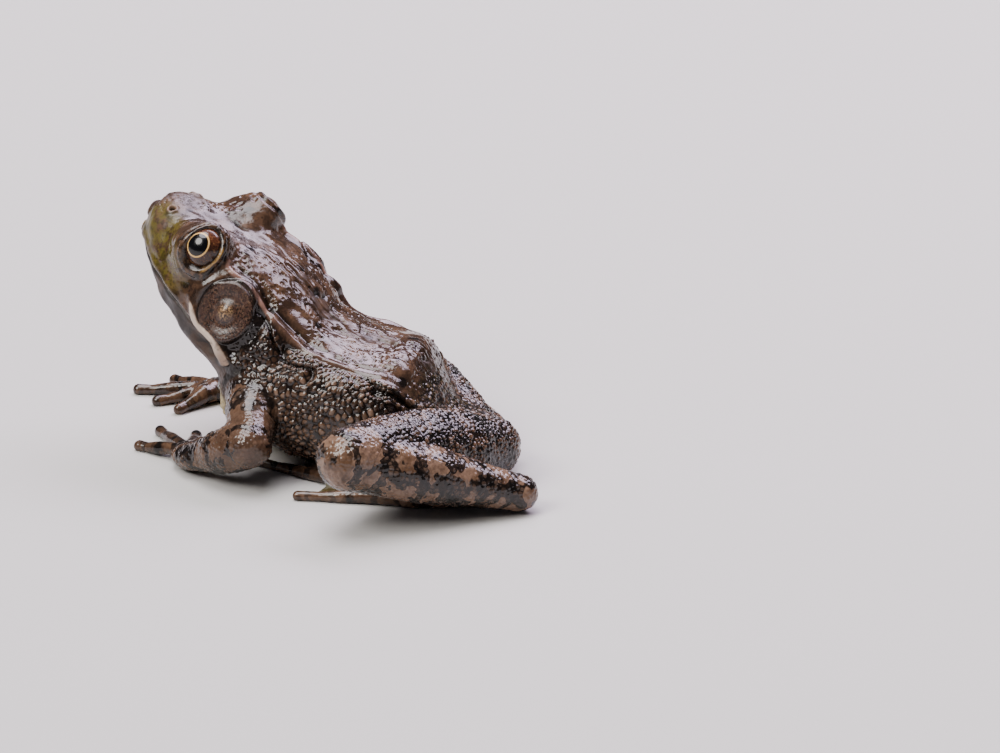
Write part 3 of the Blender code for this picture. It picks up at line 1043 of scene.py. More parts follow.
@dataclass
class Form:
    """The whole frog as a distance that can be read anywhere.

    An arm is given by its shoulder, elbow and wrist, and a leg by its hip, knee, heel and instep.
    """

    socket: EyeSocket = EyeSocket()
    drum: Eardrum = Eardrum()
    mouth: Mouth = Mouth()
    cheek: Swelling = Swelling((9.2, -8.0, -4.4), (3.0, 3.6, 2.0), -0.55)
    crown: Swelling = Swelling((0.0, 0.5, 0.0), (3.4, 6.0, math.inf), -0.45)
    gland: Swelling = Swelling((15.2, 16.6, -12.9), (1.6, 2.7, 1.4), 0.7)
    left_arm: tuple = ((12.5, -12.0, 14.8), (25.5, -8.0, 9.0), (22.0, -20.8, 3.4))
    right_arm: tuple = ((-13.0, -12.5, 15.2), (-24.5, -14.0, 9.2), (-18.5, -27.0, 3.4))
    left_leg: tuple = ((4.2, 32.6, 7.0), (37.0, 17.4, 14.2), (16.5, 43.5, 3.8), (21.5, 23.5, 2.4))
    right_leg: tuple = ((-5.6, 26.4, 4.9), (-28.0, -3.6, 8.8), (-12.5, 25.5, 3.5), (-25.0, 10.0, 2.3))
    left_thigh: tuple = (5.7, 7.6, 8.0, 7.4, 6.0)
    right_thigh: tuple = (4.4, 6.2, 7.4, 7.2, 6.0)
    hand_turns: tuple[float, float] = (math.radians(-58.0), math.radians(-24.0))
    foot_turns: tuple[float, float] = (math.radians(13.0), math.radians(-8.0))
    brow_zone: float = 12.0
    lid_zone: float = 8.0
    lid_depth: float = 6.0
    join_margin: float = 1.5
    floor_round: float = 0.25
    skin_depth: float = 2.5
    slope_reach: float = 0.04
    most_step: float = 0.45

    def __post_init__(self) -> None:
        """Sets out the body, limbs and features."""
        self.head = HeadFrame()
        self.body = Body(self.head)
        arms = [
            Arm(Side.LEFT, self.hand_turns[0], *self.left_arm),
            Arm(Side.RIGHT, self.hand_turns[1], *self.right_arm),
        ]
        legs = [
            Leg(Side.LEFT, self.foot_turns[0], *self.left_leg, self.left_thigh),
            Leg(Side.RIGHT, self.foot_turns[1], *self.right_leg, self.right_thigh),
        ]
        self.limbs = [piece for limb in arms + legs for piece in limb.pieces()]
        self.arm_pieces = sum(len(arm.pieces()) for arm in arms)
        self.nostril = self._settled_nostril()
        self.folds, self.stripes = SkinLines().build(self)

    def _settled_nostril(self) -> Nostril:
        """The nostril moved onto the snout's skin, and facing straight out of it.

        Returns:
            The moved nostril.
        """
        spot = self.settle(self.head.place(*Nostril().centre)[None], self.base, 6)
        way = self.head.axes() @ unit(self.slope(spot, self.base)[1][0])
        return Nostril(tuple(self.head.local(spot)[0]), tuple(way))

    def base(self, points: Array) -> Array:
        """The distance to the frog without its fine folds.

        Args:
            points: N x 3 places.

        Returns:
            The distance of each, below zero inside.
        """
        result = np.full(len(points), OUT_OF_REACH)
        local = self.head.local(points)
        near = box_mask(points, self.body.low, self.body.high, 0.0)
        result[near] = self.body.distance(points[near])
        near &= np.abs(local[:, 1]) < self.brow_zone
        result[near] = self.socket.close(local[near], result[near])
        for piece, soft in self.limbs:
            near = piece.near(points, soft + self.join_margin)
            result[near] = merged(result[near], piece.distance(points[near]), soft)
        near = (np.abs(local[:, 1]) < self.lid_zone) & (local[:, 2] > -self.lid_zone)
        near &= result < self.lid_depth
        result[near] = self.socket.open(local[near], result[near])
        return carved(result, points[:, 2], self.floor_round)

    def settle(self, points: Array, shape: Callable[[Array], Array], rounds: int) -> Array:
        """Moves points onto a shape's skin.

        Args:
            points: N x 3 places near the skin.
            shape: The distance that is to become nothing.
            rounds: How often to step.

        Returns:
            The moved points.
        """
        points = points.copy()
        for _ in range(rounds):
            here, slope = self.slope(points, shape)
            steep = np.maximum((slope**2).sum(axis=1), 0.2)
            step = slope * (here / steep)[:, None]
            size = np.linalg.norm(step, axis=1)
            step *= np.minimum(1.0, self.most_step / np.maximum(size, TINY))[:, None]
            points -= step
        return points

    def slope(self, points: Array, shape: Callable[[Array], Array]) -> tuple[Array, Array]:
        """A shape's distance at each point, and which way it grows there.

        Args:
            points: N x 3 places.
            shape: What gives a distance for places.

        Returns:
            The distances, and a row of three slopes for each.
        """
        here = shape(points)
        slope = np.empty_like(points)
        for axis in range(3):
            shifted = points.copy()
            shifted[:, axis] += self.slope_reach
            slope[:, axis] = (shape(shifted) - here) / self.slope_reach
        return here, slope

    def on_surface(self, path: Sequence[Any], spacing: float = 0.8) -> Array:
        """A smooth path through the given places, laid on the skin.

        Args:
            path: Rows of three coordinates.
            spacing: The gap between its points in millimetres.

        Returns:
            The path's points.
        """
        path = np.array(path, dtype=float)
        length = np.linalg.norm(np.diff(path, axis=0), axis=1).sum()
        at = np.linspace(0.0, len(path) - 1.0, max(int(length / spacing), 4))
        return self.settle(catmull(path, at), self.base, 5)

    def detail(self, points: Array) -> Array:
        """The distance to the finished skin.

        Args:
            points: N x 3 places.

        Returns:
            The distance of each, below zero inside.
        """
        shape = self.base(points)
        near = np.abs(shape) < self.skin_depth
        inner = points[near]
        local = self.head.local(inner)
        lift = sum(ridge.lift(inner) for ridge in self.folds + self.stripes)
        finished = shape[near] - lift - self._head_lift(local)
        stripe = np.maximum(*(ridge.nearness(inner) for ridge in self.stripes))
        shape[near] = finished + self.drum.change(local, finished) * smooth_step(0.4, 0.1, stripe)
        return shape

    def _head_lift(self, local: Array) -> Array:
        """How far the head's small features raise its skin.

        Args:
            local: Places in the head's frame.

        Returns:
            The lift of each.
        """
        above, inside = self.mouth.above(local)
        folded = on_left(local)
        lift = bells(above, self.mouth.folds) * inside
        lift += bells(self.nostril.gap(local), self.nostril.folds)
        lift += self.cheek.lift(folded) + self.gland.lift(folded) + self.socket.lift(local)
        return lift + self.crown.lift(folded) * smooth_step(-3.0, 0.0, local[:, 2])

    def nearest_limb(self, points: Array) -> tuple[Array, Array]:
        """The distance to the nearest piece of a limb, and that piece's number.

        Args:
            points: N x 3 places.

        Returns:
            The distance of each, and a number for each.
        """
        best, owner = np.full(len(points), OUT_OF_REACH), np.full(len(points), -1)
        for k, (piece, _) in enumerate(self.limbs):
            near = np.flatnonzero(piece.near(points, 2.0))
            gap = piece.distance(points[near])
            closer = gap < best[near]
            best[near[closer]], owner[near[closer]] = gap[closer], k
        return best, owner


@dataclass(frozen=True)
class Texture:
    """The patterns of the skin, and how far each raises or sinks it."""

    swelling: Pattern = Pattern((3.2, 4.4, 3.2), 1)
    swelling_height: float = 0.30
    ripple: Pattern = Pattern((2.1, 2.9, 2.1), 5)
    ripple_height: tuple[float, float] = (0.014, 0.024)
    pores: Pattern = Pattern((1.5, 1.3), 71, jitter=0.9)
    pore_patches: Pattern = Pattern(6.0, 73, octaves=1)
    pore_depth: float = 0.16
    crease: Pattern = Pattern((4.2, 1.5), 9)
    crease_height: float = 0.58
    side_folds: Pattern = Pattern((7.5, 2.3), 13)
    side_fold_height: tuple[float, float] = (1.4, 0.7)
    trench: Point = (0.30, -1.7, 0.5)
    grains: Pattern = Pattern((1.18, 0.98), 17, jitter=0.92)
    grain_wander: Pattern = Pattern(5.0, 19, octaves=1)
    grain_patches: Pattern = Pattern(4.5, 23)
    grain_height: float = 0.74
    leg_grains: Pattern = Pattern((0.95, 0.95, 0.95), 29)
    leg_grain_height: float = 0.26
    muscle: Pattern = Pattern(2.6, 41)
    muscle_height: float = 0.14
    rump_grains: Pattern = Pattern((0.9, 0.9, 1.1), 37)
    rump_grain_height: float = 0.14
    wrinkles: Pattern = Pattern((2.4, 2.4, 1.2), 51)
    wrinkle_height: float = 0.22
    drum_shadow: Pattern = Pattern(1.6, 61)
    bare_patch: Point = (22.3, -10.2, 15.3)
    bare_width: float = 3.8
    bar_spacing: tuple[float, float] = (4.2, 6.4)


@dataclass
class Relief:
    """Where each kind of skin lies on the frog, and how it is raised."""

    form: Form
    points: Array
    ground: Array
    texture: Texture = Texture()
    marks: dict[str, Array] = field(default_factory=dict)

    def __post_init__(self) -> None:
        """Finds every point's place on the body."""
        form, points = self.form, self.points
        self.local = form.head.local(points)
        self.back = self.local[:, 1]
        here = form.body.places(points)
        self.station, self.height = here.station, here.height
        self.along, self.around = form.body.flow(points)
        self.flow = np.stack([self.along, self.around], axis=1)
        limb_gap, self.owner = form.nearest_limb(points)
        self.limb = smooth_step(-0.5, 0.9, form.body.distance(points) - limb_gap)
        self.trunk = 1.0 - self.limb
        self.headward = self.trunk * (self.back < 22.0)
        self.below = self._below_folds()

    def _below_folds(self) -> Array:
        """How far round the body each point is below the fold of its side.

        Returns:
            The length for each point.
        """
        below = np.zeros(len(self.points))
        for ridge, side in zip(self.form.folds, Side):
            along, around = self.form.body.flow(ridge.path)
            order = np.argsort(along)
            edge = np.interp(self.along, along[order], np.abs(around)[order])
            here = np.sign(self.around) == side.value
            below[here] = (np.abs(self.around) - edge)[here]
        return below

    def lay_out(self) -> None:
        """Fills in the share that each kind of skin has of every point."""
        self._mark_eyes()
        self._mark_lines()
        self._mark_hollows()
        self._mark_head()
        self._mark_trunk()
        self._mark_limbs()

    def _mark_eyes(self) -> None:
        """Marks the lids, their edges, which are darkened as painted shade, and the gold line under each
        eye.
        """
        far, past, bearing = self.form.socket.polar(self.local)
        zone = smooth_step(2.2, 0.9, self.form.socket.off_lid(far))
        arc = smooth_step(52.0, 36.0, np.abs(bearing - 12.0))
        self.marks["lid"] = smooth_step(30.0, 16.0, past) * zone * self.headward
        # The lid's edge by the eyeball: painted shade of the gap between lid and ball.
        self.marks["shaded_lid_edge"] = smooth_step(3.6, 1.8, past) * zone * self.headward
        self.marks["gold"] = bell(past - 1.9, 1.5) * zone * self.headward * arc

    def _mark_lines(self) -> None:
        """Marks the folds of the back and the stripes of the lips."""
        fold, stripe = (
            np.maximum(*(ridge.nearness(self.ground) for ridge in ridges))
            for ridges in (self.form.folds, self.form.stripes)
        )
        fading = 0.18 + 0.82 * smooth_step(21.0, 17.0, self.back)
        self.marks["fold"] = smooth_step(0.45, 0.95, fold) * fading
        self.marks["cream"] = smooth_step(0.3, 0.75, stripe)
        self.marks["gland"] = self.marks["cream"] * smooth_step(13.0, 16.0, self.back)

    def _mark_hollows(self) -> None:
        """Marks the eardrums, and, as painted shade, every place too deep for light: mouth, nostrils and
        grooves.
        """
        m, drum = self.marks, self.form.drum
        radius, rise, behind = drum.polar(self.local)
        past, near = radius - drum.radius, np.abs(rise) < 3.5
        m["drum"] = smooth_step(0.1, -0.3, past) * near
        m["drum_middle"] = bell(radius, 1.5) * near
        groove = bell(past - 0.2, 0.5) * near
        ragged = self.texture.drum_shadow.cloud(self.points)
        shadow = bell(np.maximum(past - 1.6 + ragged, 0.0), 1.5) * near
        shadow = smooth_step(0.3, 0.7, shadow) * smooth_step(-2.0, 3.0, behind) * (past > 0)
        above, inside = self.form.mouth.above(self.local)
        mouth = bell(above, 0.3) * inside * self.headward
        nostril = self.form.nostril.gap(self.local)
        m["nostril_rim"] = bell(nostril - 0.8, 0.28) * self.headward
        # Painted shade: the mouth's line, the inside of each nostril, the dark groove round each eardrum
        # and the hollow behind it.
        deep = (mouth, smooth_step(0.62, 0.4, nostril), groove, 0.95 * shadow * (1.0 - m["fold"]))
        m["hollow_shade"] = np.maximum.reduce(deep) * (1.0 - m["cream"])
        self.closed = 1.0 - mouth

    def _mark_head(self) -> None:
        """Marks the snout, the jaw, which is darkened partly as painted shade under the head, the crown,
        and the pale throat and belly.
        """
        m, side, up = self.marks, np.abs(self.local[:, 0]), self.local[:, 2]
        above, _ = self.form.mouth.above(self.local)
        olive = smooth_step(3.5, -4.0, self.back) * smooth_step(0.8, -2.2, up)
        olive = olive * smooth_step(-1.0, 2.0, above) * smooth_step(1.5, 4.0, side)
        m["olive"] = olive * self.headward
        m["crown"] = smooth_step(16.0, 9.0, self.back) * self.headward * (1.0 - m["olive"])
        m["muzzle"] = smooth_step(-6.5, -9.5, self.back) * self.headward
        self.under = smooth_step(-0.80, -0.97, self.height) * self.trunk
        throat = smooth_step(-6.8, -9.8, above) * self.headward
        m["belly"] = np.maximum(self.under, throat) * self.closed
        # The jaw below the mouth: dark brown skin, darkened towards black as painted shade under the
        # head.
        m["jaw"] = smooth_step(0.2, -0.4, above) * self.headward * (1.0 - m["belly"])

    def _mark_trunk(self) -> None:
        """Marks the back between the folds, its middle band, the flanks and the rump."""
        m, station = self.marks, self.station
        panel = smooth_step(-0.2, -1.2, self.below) * self.trunk * (self.height > 0)
        m["panel"] = panel * smooth_step(12.3, 11.3, station)
        m["band"] = bell(self.around + 0.6, 3.6) * m["panel"] * smooth_step(4.6, 6.5, station)
        flank = smooth_step(0.2, 1.2, self.below) * self.trunk * smooth_step(15.5, 19.0, self.back)
        m["flank"] = flank * (1.0 - 0.8 * self.under)
        m["rump"] = smooth_step(11.2, 12.2, station) * self.trunk

    def _mark_limbs(self) -> None:
        """Counts dark bars along each limb and digit, and finds the webs."""
        m, count = self.marks, len(self.points)
        m["limb"] = self.limb
        m.update({name: np.zeros(count) for name in ("bar", "digit", "web", "beaded", "hind")})
        for k, (piece, _) in enumerate(self.form.limbs):
            mine = self.owner == k
            if isinstance(piece, Web):
                m["web"][mine] = 1.0
                continue
            bone = piece.path[-1] - piece.path[0]
            length, widest = np.linalg.norm(bone), piece.radii.max()
            digit = length < 40.0 and widest < 2.3
            reach = (self.points[mine] - piece.path[0]) @ bone / length
            spacing = self.texture.bar_spacing[0 if digit else 1]
            m["bar"][mine] = reach / spacing + 0.15 * k
            m["digit"][mine] = float(digit)
            m["hind"][mine] = float(k >= self.form.arm_pieces)
            m["beaded"][mine] = 0.5
            if widest > 6.2:
                m["beaded"][mine] += 0.5 * smooth_step(1.0, 0.7, reach / length)

    def raise_skin(self) -> Array:
        """How far the fine relief lifts every point, in millimetres.

        Returns:
            The lift of each.
        """
        m = self.marks
        behind_fold = smooth_step(5.5, 9.0, self.back) * smooth_step(9.5, 8.0, self.station)
        under_fold = bell(self.below - 2.7, 2.0) * m["flank"]
        lift = self._back_lift() + self._fold_lift(behind_fold, under_fold)
        lift += self._grain_lift(1.0 - 0.3 * under_fold)
        return lift * (1.0 - m["drum"]) * (1.0 - m["shaded_lid_edge"]) * (1.0 - 0.7 * m["cream"])

    def _back_lift(self) -> Array:
        """The swellings, ripples and pores of the back and head.

        Returns:
            The lift of each point.
        """
        m, of = self.marks, self.texture
        panel = m["panel"] * (1.0 - m["band"])
        crown = self.trunk * smooth_step(14.0, 9.0, self.back)
        lift = of.swelling_height * of.swelling.cloud(self.points)
        lift *= np.maximum(panel, 0.85 * self.trunk)
        shares = of.ripple_height[0] * panel + of.ripple_height[1] * crown
        lift += (of.ripple.creases(self.points) - 0.6) * shares
        pore = smooth_step(0.86, 0.98, of.pores.pebbles(self.flow)[0])
        return lift - of.pore_depth * pore * panel * (of.pore_patches.cloud(self.flow) > -0.25)

    def _fold_lift(self, behind_fold: Array, under_fold: Array) -> Array:
        """The back's middle creases, the folds under the side folds, and the neck's wrinkles, and the
        painted shade in their valleys.

        Args:
            behind_fold: The share of each point that lies beside the side folds' rear part.
            under_fold: The share of each point that lies just under a side fold.

        Returns:
            The lift of each point.
        """
        m, of = self.marks, self.texture
        crease = of.crease.creases(self.flow)
        folds = of.side_folds.creases(self.flow)
        depth, middle, width = of.trench
        trench = bell(self.below - middle, width) * m["panel"] * behind_fold
        lift = of.crease_height * (crease - 0.6) * m["band"] - depth * trench
        near_side = np.where(self.around > 0, *of.side_fold_height)
        lift += near_side * (folds - 0.6) * under_fold
        wrinkle = of.wrinkles.creases(self.points) - 0.5
        collar = bell(self.back - 19.5, 3.2) * smooth_step(0.5, 2.0, self.below) * self.trunk
        # Painted shade: the valleys of the middle creases and of the folds under each side fold, the
        # trench below the fold, the whole strip under the fold a little, and a black edge just under its
        # rear part.
        crease_shade = (0.45 - crease) * m["band"] + (2.0 * (0.6 - folds) + 0.15) * under_fold
        shade = bell(self.below - 1.4, 0.8) * behind_fold * m["flank"]
        m["crease_shade"] = np.clip(1.6 * (crease_shade + 0.5 * trench) + 0.8 * shade, 0.0, 1.0)
        return lift + of.wrinkle_height * wrinkle * collar

    def _grain_lift(self, even: Array) -> Array:
        """The pebbled grain of the flanks, limbs and rump.

        Args:
            even: How much of the flanks' grain each point keeps beside the folds.

        Returns:
            The lift of each point.
        """
        m, of, points, flow = self.marks, self.texture, self.points, self.flow
        wander = of.grain_wander.cloud(flow)[:, None] * 0.9
        grain, own = of.grains.pebbles(flow + wander)
        patchy = np.clip(0.75 + of.grain_patches.cloud(flow), 0.35, 1.0)
        bead = grain * m["flank"] * (1.0 - 0.55 * smooth_step(29.0, 21.0, self.back))
        lift = of.grain_height * (0.55 + 0.45 * own) * bead * even * patchy
        leg, leg_own = of.leg_grains.pebbles(points)
        bare = bell(np.linalg.norm(points - of.bare_patch, axis=1), of.bare_width)
        fleshy = self.limb * (1.0 - m["web"])
        leg_bead = leg * fleshy * (1.0 - 0.8 * m["digit"]) * (1.0 - bare)
        lift += of.leg_grain_height * leg_bead * m["beaded"]
        lift += of.muscle_height * of.muscle.cloud(points) * self.limb * (1.0 - m["digit"])
        rump = of.rump_grains.pebbles(points)[0] * m["rump"]
        smooth_limb = self.limb * (1.0 - m["beaded"]) * 0.9
        bead = bead + leg_bead + 0.8 * rump + 0.7 * bare + smooth_limb
        m["bead"] = np.clip(bead, 0.0, 1.0)
        m["own"] = np.where(self.limb > 0.5, leg_own, own)
        m["granular"] = np.clip(m["flank"] + fleshy * (1.0 - m["digit"]) + m["rump"], 0.0, 1.0)
        return lift + of.rump_grain_height * rump


# ---- meshes


def surface_nets(values: Array, origin: Array, step: float) -> tuple[Array, Array]:
    """A quad mesh where a lattice of values changes sign.

    Args:
        values: The distances at the lattice's points.
        origin: Its first point.
        step: Its spacing.

    Returns:
        The vertices, and the faces as rows of four of them.
    """
    inside = values < 0
    size = np.array(values.shape) - 1
    corners = [np.array([c & 1, c >> 1 & 1, c >> 2 & 1]) for c in range(8)]
    count = np.zeros(tuple(size), dtype=np.uint8)
    for i, j, k in corners:
        count += inside[i : i + size[0], j : j + size[1], k : k + size[2]]
    active = (count > 0) & (count < len(corners))
    cells = np.argwhere(active)
    index = np.full(tuple(size), -1, dtype=np.int64)
    index[active] = np.arange(len(cells))
    total, hits = np.zeros((len(cells), 3)), np.zeros(len(cells))
    edges = [(a, b) for a in corners for b in corners if (b >= a).all() and (b - a).sum() == 1]
    for a, b in edges:
        first, second = values[tuple((cells + a).T)], values[tuple((cells + b).T)]
        cross = (first < 0) != (second < 0)
        t = first[cross] / (first[cross] - second[cross])
        total[cross] += a + (b - a) * t[:, None]
        hits[cross] += 1
    vertices = origin + step * (cells + total / hits[:, None])
    faces = []
    for axis in range(3):
        lower, upper = [slice(None)] * 3, [slice(None)] * 3
        lower[axis], upper[axis] = slice(0, -1), slice(1, None)
        change = np.argwhere(inside[tuple(lower)] != inside[tuple(upper)])
        u, v = np.eye(3, dtype=int)[(axis + 1) % 3], np.eye(3, dtype=int)[(axis + 2) % 3]
        change = change[(change >= u + v).all(axis=1) & (change < size).all(axis=1)]
        quad = [index[tuple((change - shift).T)] for shift in (u + v, v, 0 * u, u)]
        quad = np.stack(quad, axis=1)
        enters = inside[tuple(change.T)]
        quad[~enters] = quad[~enters][:, ::-1]
        faces.append(quad)
    return vertices, np.concatenate(faces)


def quartered(vertices: Array, faces: Array) -> tuple[Array, Array]:
    """A quad mesh with each of its faces split into four.

    Args:
        vertices: Its points.
        faces: Rows of four of their numbers.

    Returns:
        The new points and faces.
    """
    pairs = np.concatenate([np.stack([faces[:, k], faces[:, (k + 1) % 4]], 1) for k in range(4)])
    pairs.sort(axis=1)
    keys, inverse = np.unique(pairs[:, 0] * len(vertices) + pairs[:, 1], return_inverse=True)
    ends = np.stack([keys // len(vertices), keys % len(vertices)], axis=1)
    edge = len(vertices) + inverse.reshape(4, -1)
    centre = len(vertices) + len(keys) + np.arange(len(faces))
    quads = [np.stack([faces[:, k], edge[k], centre, edge[k - 1]], axis=1) for k in range(4)]
    middles, centres = vertices[ends].mean(axis=1), vertices[faces].mean(axis=1)
    return np.concatenate([vertices, middles, centres]), np.concatenate(quads)


def make_object(
    name: str, vertices: Array, faces: Array, finish: Any, marks: dict[str, Array]
) -> bpy.types.Object:
    """Makes a smooth-shaded object in the scene.

    Args:
        name: Its name.
        vertices: Its points in metres.
        faces: Rows of four vertex numbers.
        finish: What makes its material.
        marks: Values for each vertex by name.

    Returns:
        The object.
    """
    data = bpy.data.meshes.new(name)
    data.vertices.add(len(vertices))
    data.vertices.foreach_set("co", vertices.astype(np.float32).ravel())
    data.loops.add(faces.size)
    data.loops.foreach_set("vertex_index", faces.astype(np.int32).ravel())
    data.polygons.add(len(faces))
    data.polygons.foreach_set("loop_start", np.arange(0, faces.size, 4, dtype=np.int32))
    data.update(calc_edges=True)
    data.validate()
    for mark, values in marks.items():
        layer = data.attributes.new(mark, "FLOAT", "POINT")
        layer.data.foreach_set("value", values.astype(np.float32))
    data.shade_smooth()
    data.materials.append(finish.build())
    return in_scene(name, data)


def in_scene(name: str, data: Any) -> bpy.types.Object:
    """Puts a mesh, a light or a camera in the scene as an object.

    Args:
        name: The object's name.
        data: What it shows.

    Returns:
        The object.
    """
    made = bpy.data.objects.new(name, data)
    bpy.context.scene.collection.objects.link(made)
    return made


# ---- node trees


class Wire:
    """A node's output that ordinary arithmetic can be done on."""

    def __init__(self, tree: "Tree", source: Any) -> None:
        """Keeps the tree and the socket."""
        self.tree = tree
        self.source = source

    def _math(self, operation: str, *values: Any) -> "Wire":
        """Adds a Math node on values."""
        return self.tree.node("ShaderNodeMath", {"operation": operation}, dict(enumerate(values)))

    def __add__(self, other: Any) -> "Wire":
        """This plus other."""
        return self._math("ADD", self, other)

    def __sub__(self, other: Any) -> "Wire":
        """This less other."""
        return self._math("SUBTRACT", self, other)

    def __rsub__(self, other: Any) -> "Wire":
        """Other less this."""
        return self._math("SUBTRACT", other, self)

    def __mul__(self, other: Any) -> "Wire":
        """This times other."""
        return self._math("MULTIPLY", self, other)

    def __truediv__(self, other: Any) -> "Wire":
        """This over other."""
        return self._math("DIVIDE", self, other)

    def __rtruediv__(self, other: Any) -> "Wire":
        """Other over this."""
        return self._math("DIVIDE", other, self)

    def __pow__(self, other: Any) -> "Wire":
        """This to a power."""
        return self._math("POWER", self, other)

    def __rpow__(self, other: Any) -> "Wire":
        """Other to the power of this."""
        return self._math("POWER", other, self)

    __radd__ = __add__
    __rmul__ = __mul__

    def sine(self) -> "Wire":
        """The sine of this."""
        return self._math("SINE", self)

    def greatest(self, other: Any) -> "Wire":
        """The greater of this and other."""
        return self._math("MAXIMUM", self, other)

    def between(self, low: float, high: float) -> "Wire":
        """Rises smoothly from 0 at low to 1 at high, or falls where low is the greater.

        Args:
            low: Where it is 0.
            high: Where it is 1.

        Returns:
            The share.
        """
        inputs = {"Value": self, "From Min": low, "From Max": high}
        if low > high:
            inputs.update({"From Min": high, "From Max": low, "To Min": 1.0, "To Max": 0.0})
        settings = {"interpolation_type": "SMOOTHSTEP", "clamp": True}
        return self.tree.node("ShaderNodeMapRange", settings, inputs, "Result")


@dataclass(frozen=True)
class Speckle:
    """Noise with features of about a size in metres, cut to run from 0 to 1 between two values."""

    size: float
    low: float
    high: float
    detail: float = 2.0
    rough: float = 0.5


class Tree:
    """The nodes of one material, or of the world."""

    def __init__(self, owner: Any, shader: str) -> None:
        """Turns the owner's nodes on, and finds its shader.

        Args:
            owner: The material or the world.
            shader: The name of its shader's node.
        """
        owner.use_nodes = True
        self.nodes = owner.node_tree.nodes
        self.links = owner.node_tree.links
        self.shader = self.nodes[shader]

    def node(
        self,
        kind: str,
        settings: dict[str, Any],
        inputs: dict[Any, Any],
        output: int | str = 0,
    ) -> Wire:
        """Adds a node.

        Args:
            kind: Its Blender type.
            settings: Its properties, which are set first.
            inputs: Values or wires by socket name or number.
            output: The socket wanted from it.

        Returns:
            That output.
        """
        made = self.nodes.new(kind)
        for key, value in settings.items():
            setattr(made, key, value)
        for key, value in inputs.items():
            self.feed(made.inputs[key], value)
        return Wire(self, made.outputs[output])

    def feed(self, socket: Any, value: Any) -> None:
        """Links a wire to a socket, or sets a plain value on it.

        Args:
            socket: A node's input.
            value: A wire or a plain value.
        """
        if isinstance(value, Wire):
            self.links.new(value.source, socket)
        else:
            socket.default_value = value

    def set(self, **values: Any) -> None:
        """Feeds the shader's sockets, whose names are given with underscores."""
        for key, value in values.items():
            self.feed(self.shader.inputs[key.replace("_", " ")], value)

    def mark(self, name: str) -> Wire:
        """One of the mesh's own marks."""
        return self.node("ShaderNodeAttribute", {"attribute_name": name}, {}, "Fac")

    def place(self) -> Wire:
        """The point's place on the object, in metres."""
        return self.node("ShaderNodeTexCoord", {}, {}, "Object")

    def axis(self, place: Wire, name: str) -> Wire:
        """One coordinate of a place."""
        return self.node("ShaderNodeSeparateXYZ", {}, {0: place}, name)

    def stretched(self, place: Wire, scale: Point) -> Wire:
        """A place stretched along the axes."""
        inputs = {"Vector": place, "Scale": scale}
        return self.node("ShaderNodeMapping", {"vector_type": "POINT"}, inputs, "Vector")

    def shaken(self, place: Wire, size: float, reach: float) -> Wire:
        """A place moved about by noise, for pattern edges that wander.

        Args:
            place: The point's place.
            size: The noise's features in metres.
            reach: How far it moves.

        Returns:
            The moved place.
        """
        inputs = {"Vector": place, "Scale": 1.0 / size, "Detail": 2.0}
        colour = self.node("ShaderNodeTexNoise", {}, inputs, "Color")
        centred = self.vector("SUBTRACT", colour, (0.5, 0.5, 0.5))
        moved = self.vector("MULTIPLY", centred, (reach, reach, reach))
        return self.vector("ADD", place, moved)

    def vector(self, operation: str, first: Any, second: Any) -> Wire:
        """Vector arithmetic."""
        return self.node("ShaderNodeVectorMath", {"operation": operation}, {0: first, 1: second})

    def noise(self, place: Wire, size: float, detail: float = 2.0, rough: float = 0.5) -> Wire:
        """Cloudy noise whose features are about a size in metres."""
        inputs = {"Vector": place, "Scale": 1.0 / size, "Detail": detail, "Roughness": rough}
        return self.node("ShaderNodeTexNoise", {}, inputs, "Fac")

    def cells(self, place: Wire, size: float) -> Wire:
        """The distance to the middle of the nearest cell, in cells."""
        return self.node("ShaderNodeTexVoronoi", {}, {"Vector": place, "Scale": 1.0 / size}, 0)

    def clouds(self, place: Wire, of: Speckle) -> Wire:
        """The share of each point that lies in cloudy speckles."""
        return self.noise(place, of.size, of.detail, of.rough).between(of.low, of.high)

    def spots(self, place: Wire, of: Speckle) -> Wire:
        """The share of each point that lies in round spots."""
        return self.cells(place, of.size).between(of.low, of.high)

    def blend(self, share: Any, first: Any, second: Any) -> Wire:
        """A colour between two others."""
        settings = {"data_type": "RGBA", "clamp_factor": True}
        return self.node("ShaderNodeMix", settings, {0: share, 6: first, 7: second}, 2)

    def layered(self, colour: Wire, *layers: tuple[Any, Any]) -> Wire:
        """A colour with others laid over it, each given after its share.

        Args:
            colour: The lowest colour.
            *layers: Pairs of a share and a colour.

        Returns:
            The colour that shows.
        """
        for share, layer in layers:
            colour = self.blend(share, colour, layer)
        return colour

    def bump(self, height: Wire, distance: float) -> Wire:
        """A normal raised by a height."""
        return self.node("ShaderNodeBump", {}, {"Height": height, "Distance": distance}, "Normal")


@dataclass(frozen=True)
class Finish:
    """What every material shares: a name, and a Principled shader."""

    name: str

    def dress(self, tree: Tree) -> None:
        """Feeds the shader."""
        raise NotImplementedError

    def build(self) -> bpy.types.Material:
        """Makes the material.

        Returns:
            The material.
        """
        made = bpy.data.materials.new(self.name)
        self.dress(Tree(made, "Principled BSDF"))
        return made


def rgb(red: float, green: float, blue: float) -> Colour:
    """A linear colour."""
    return (red, green, blue, 1.0)


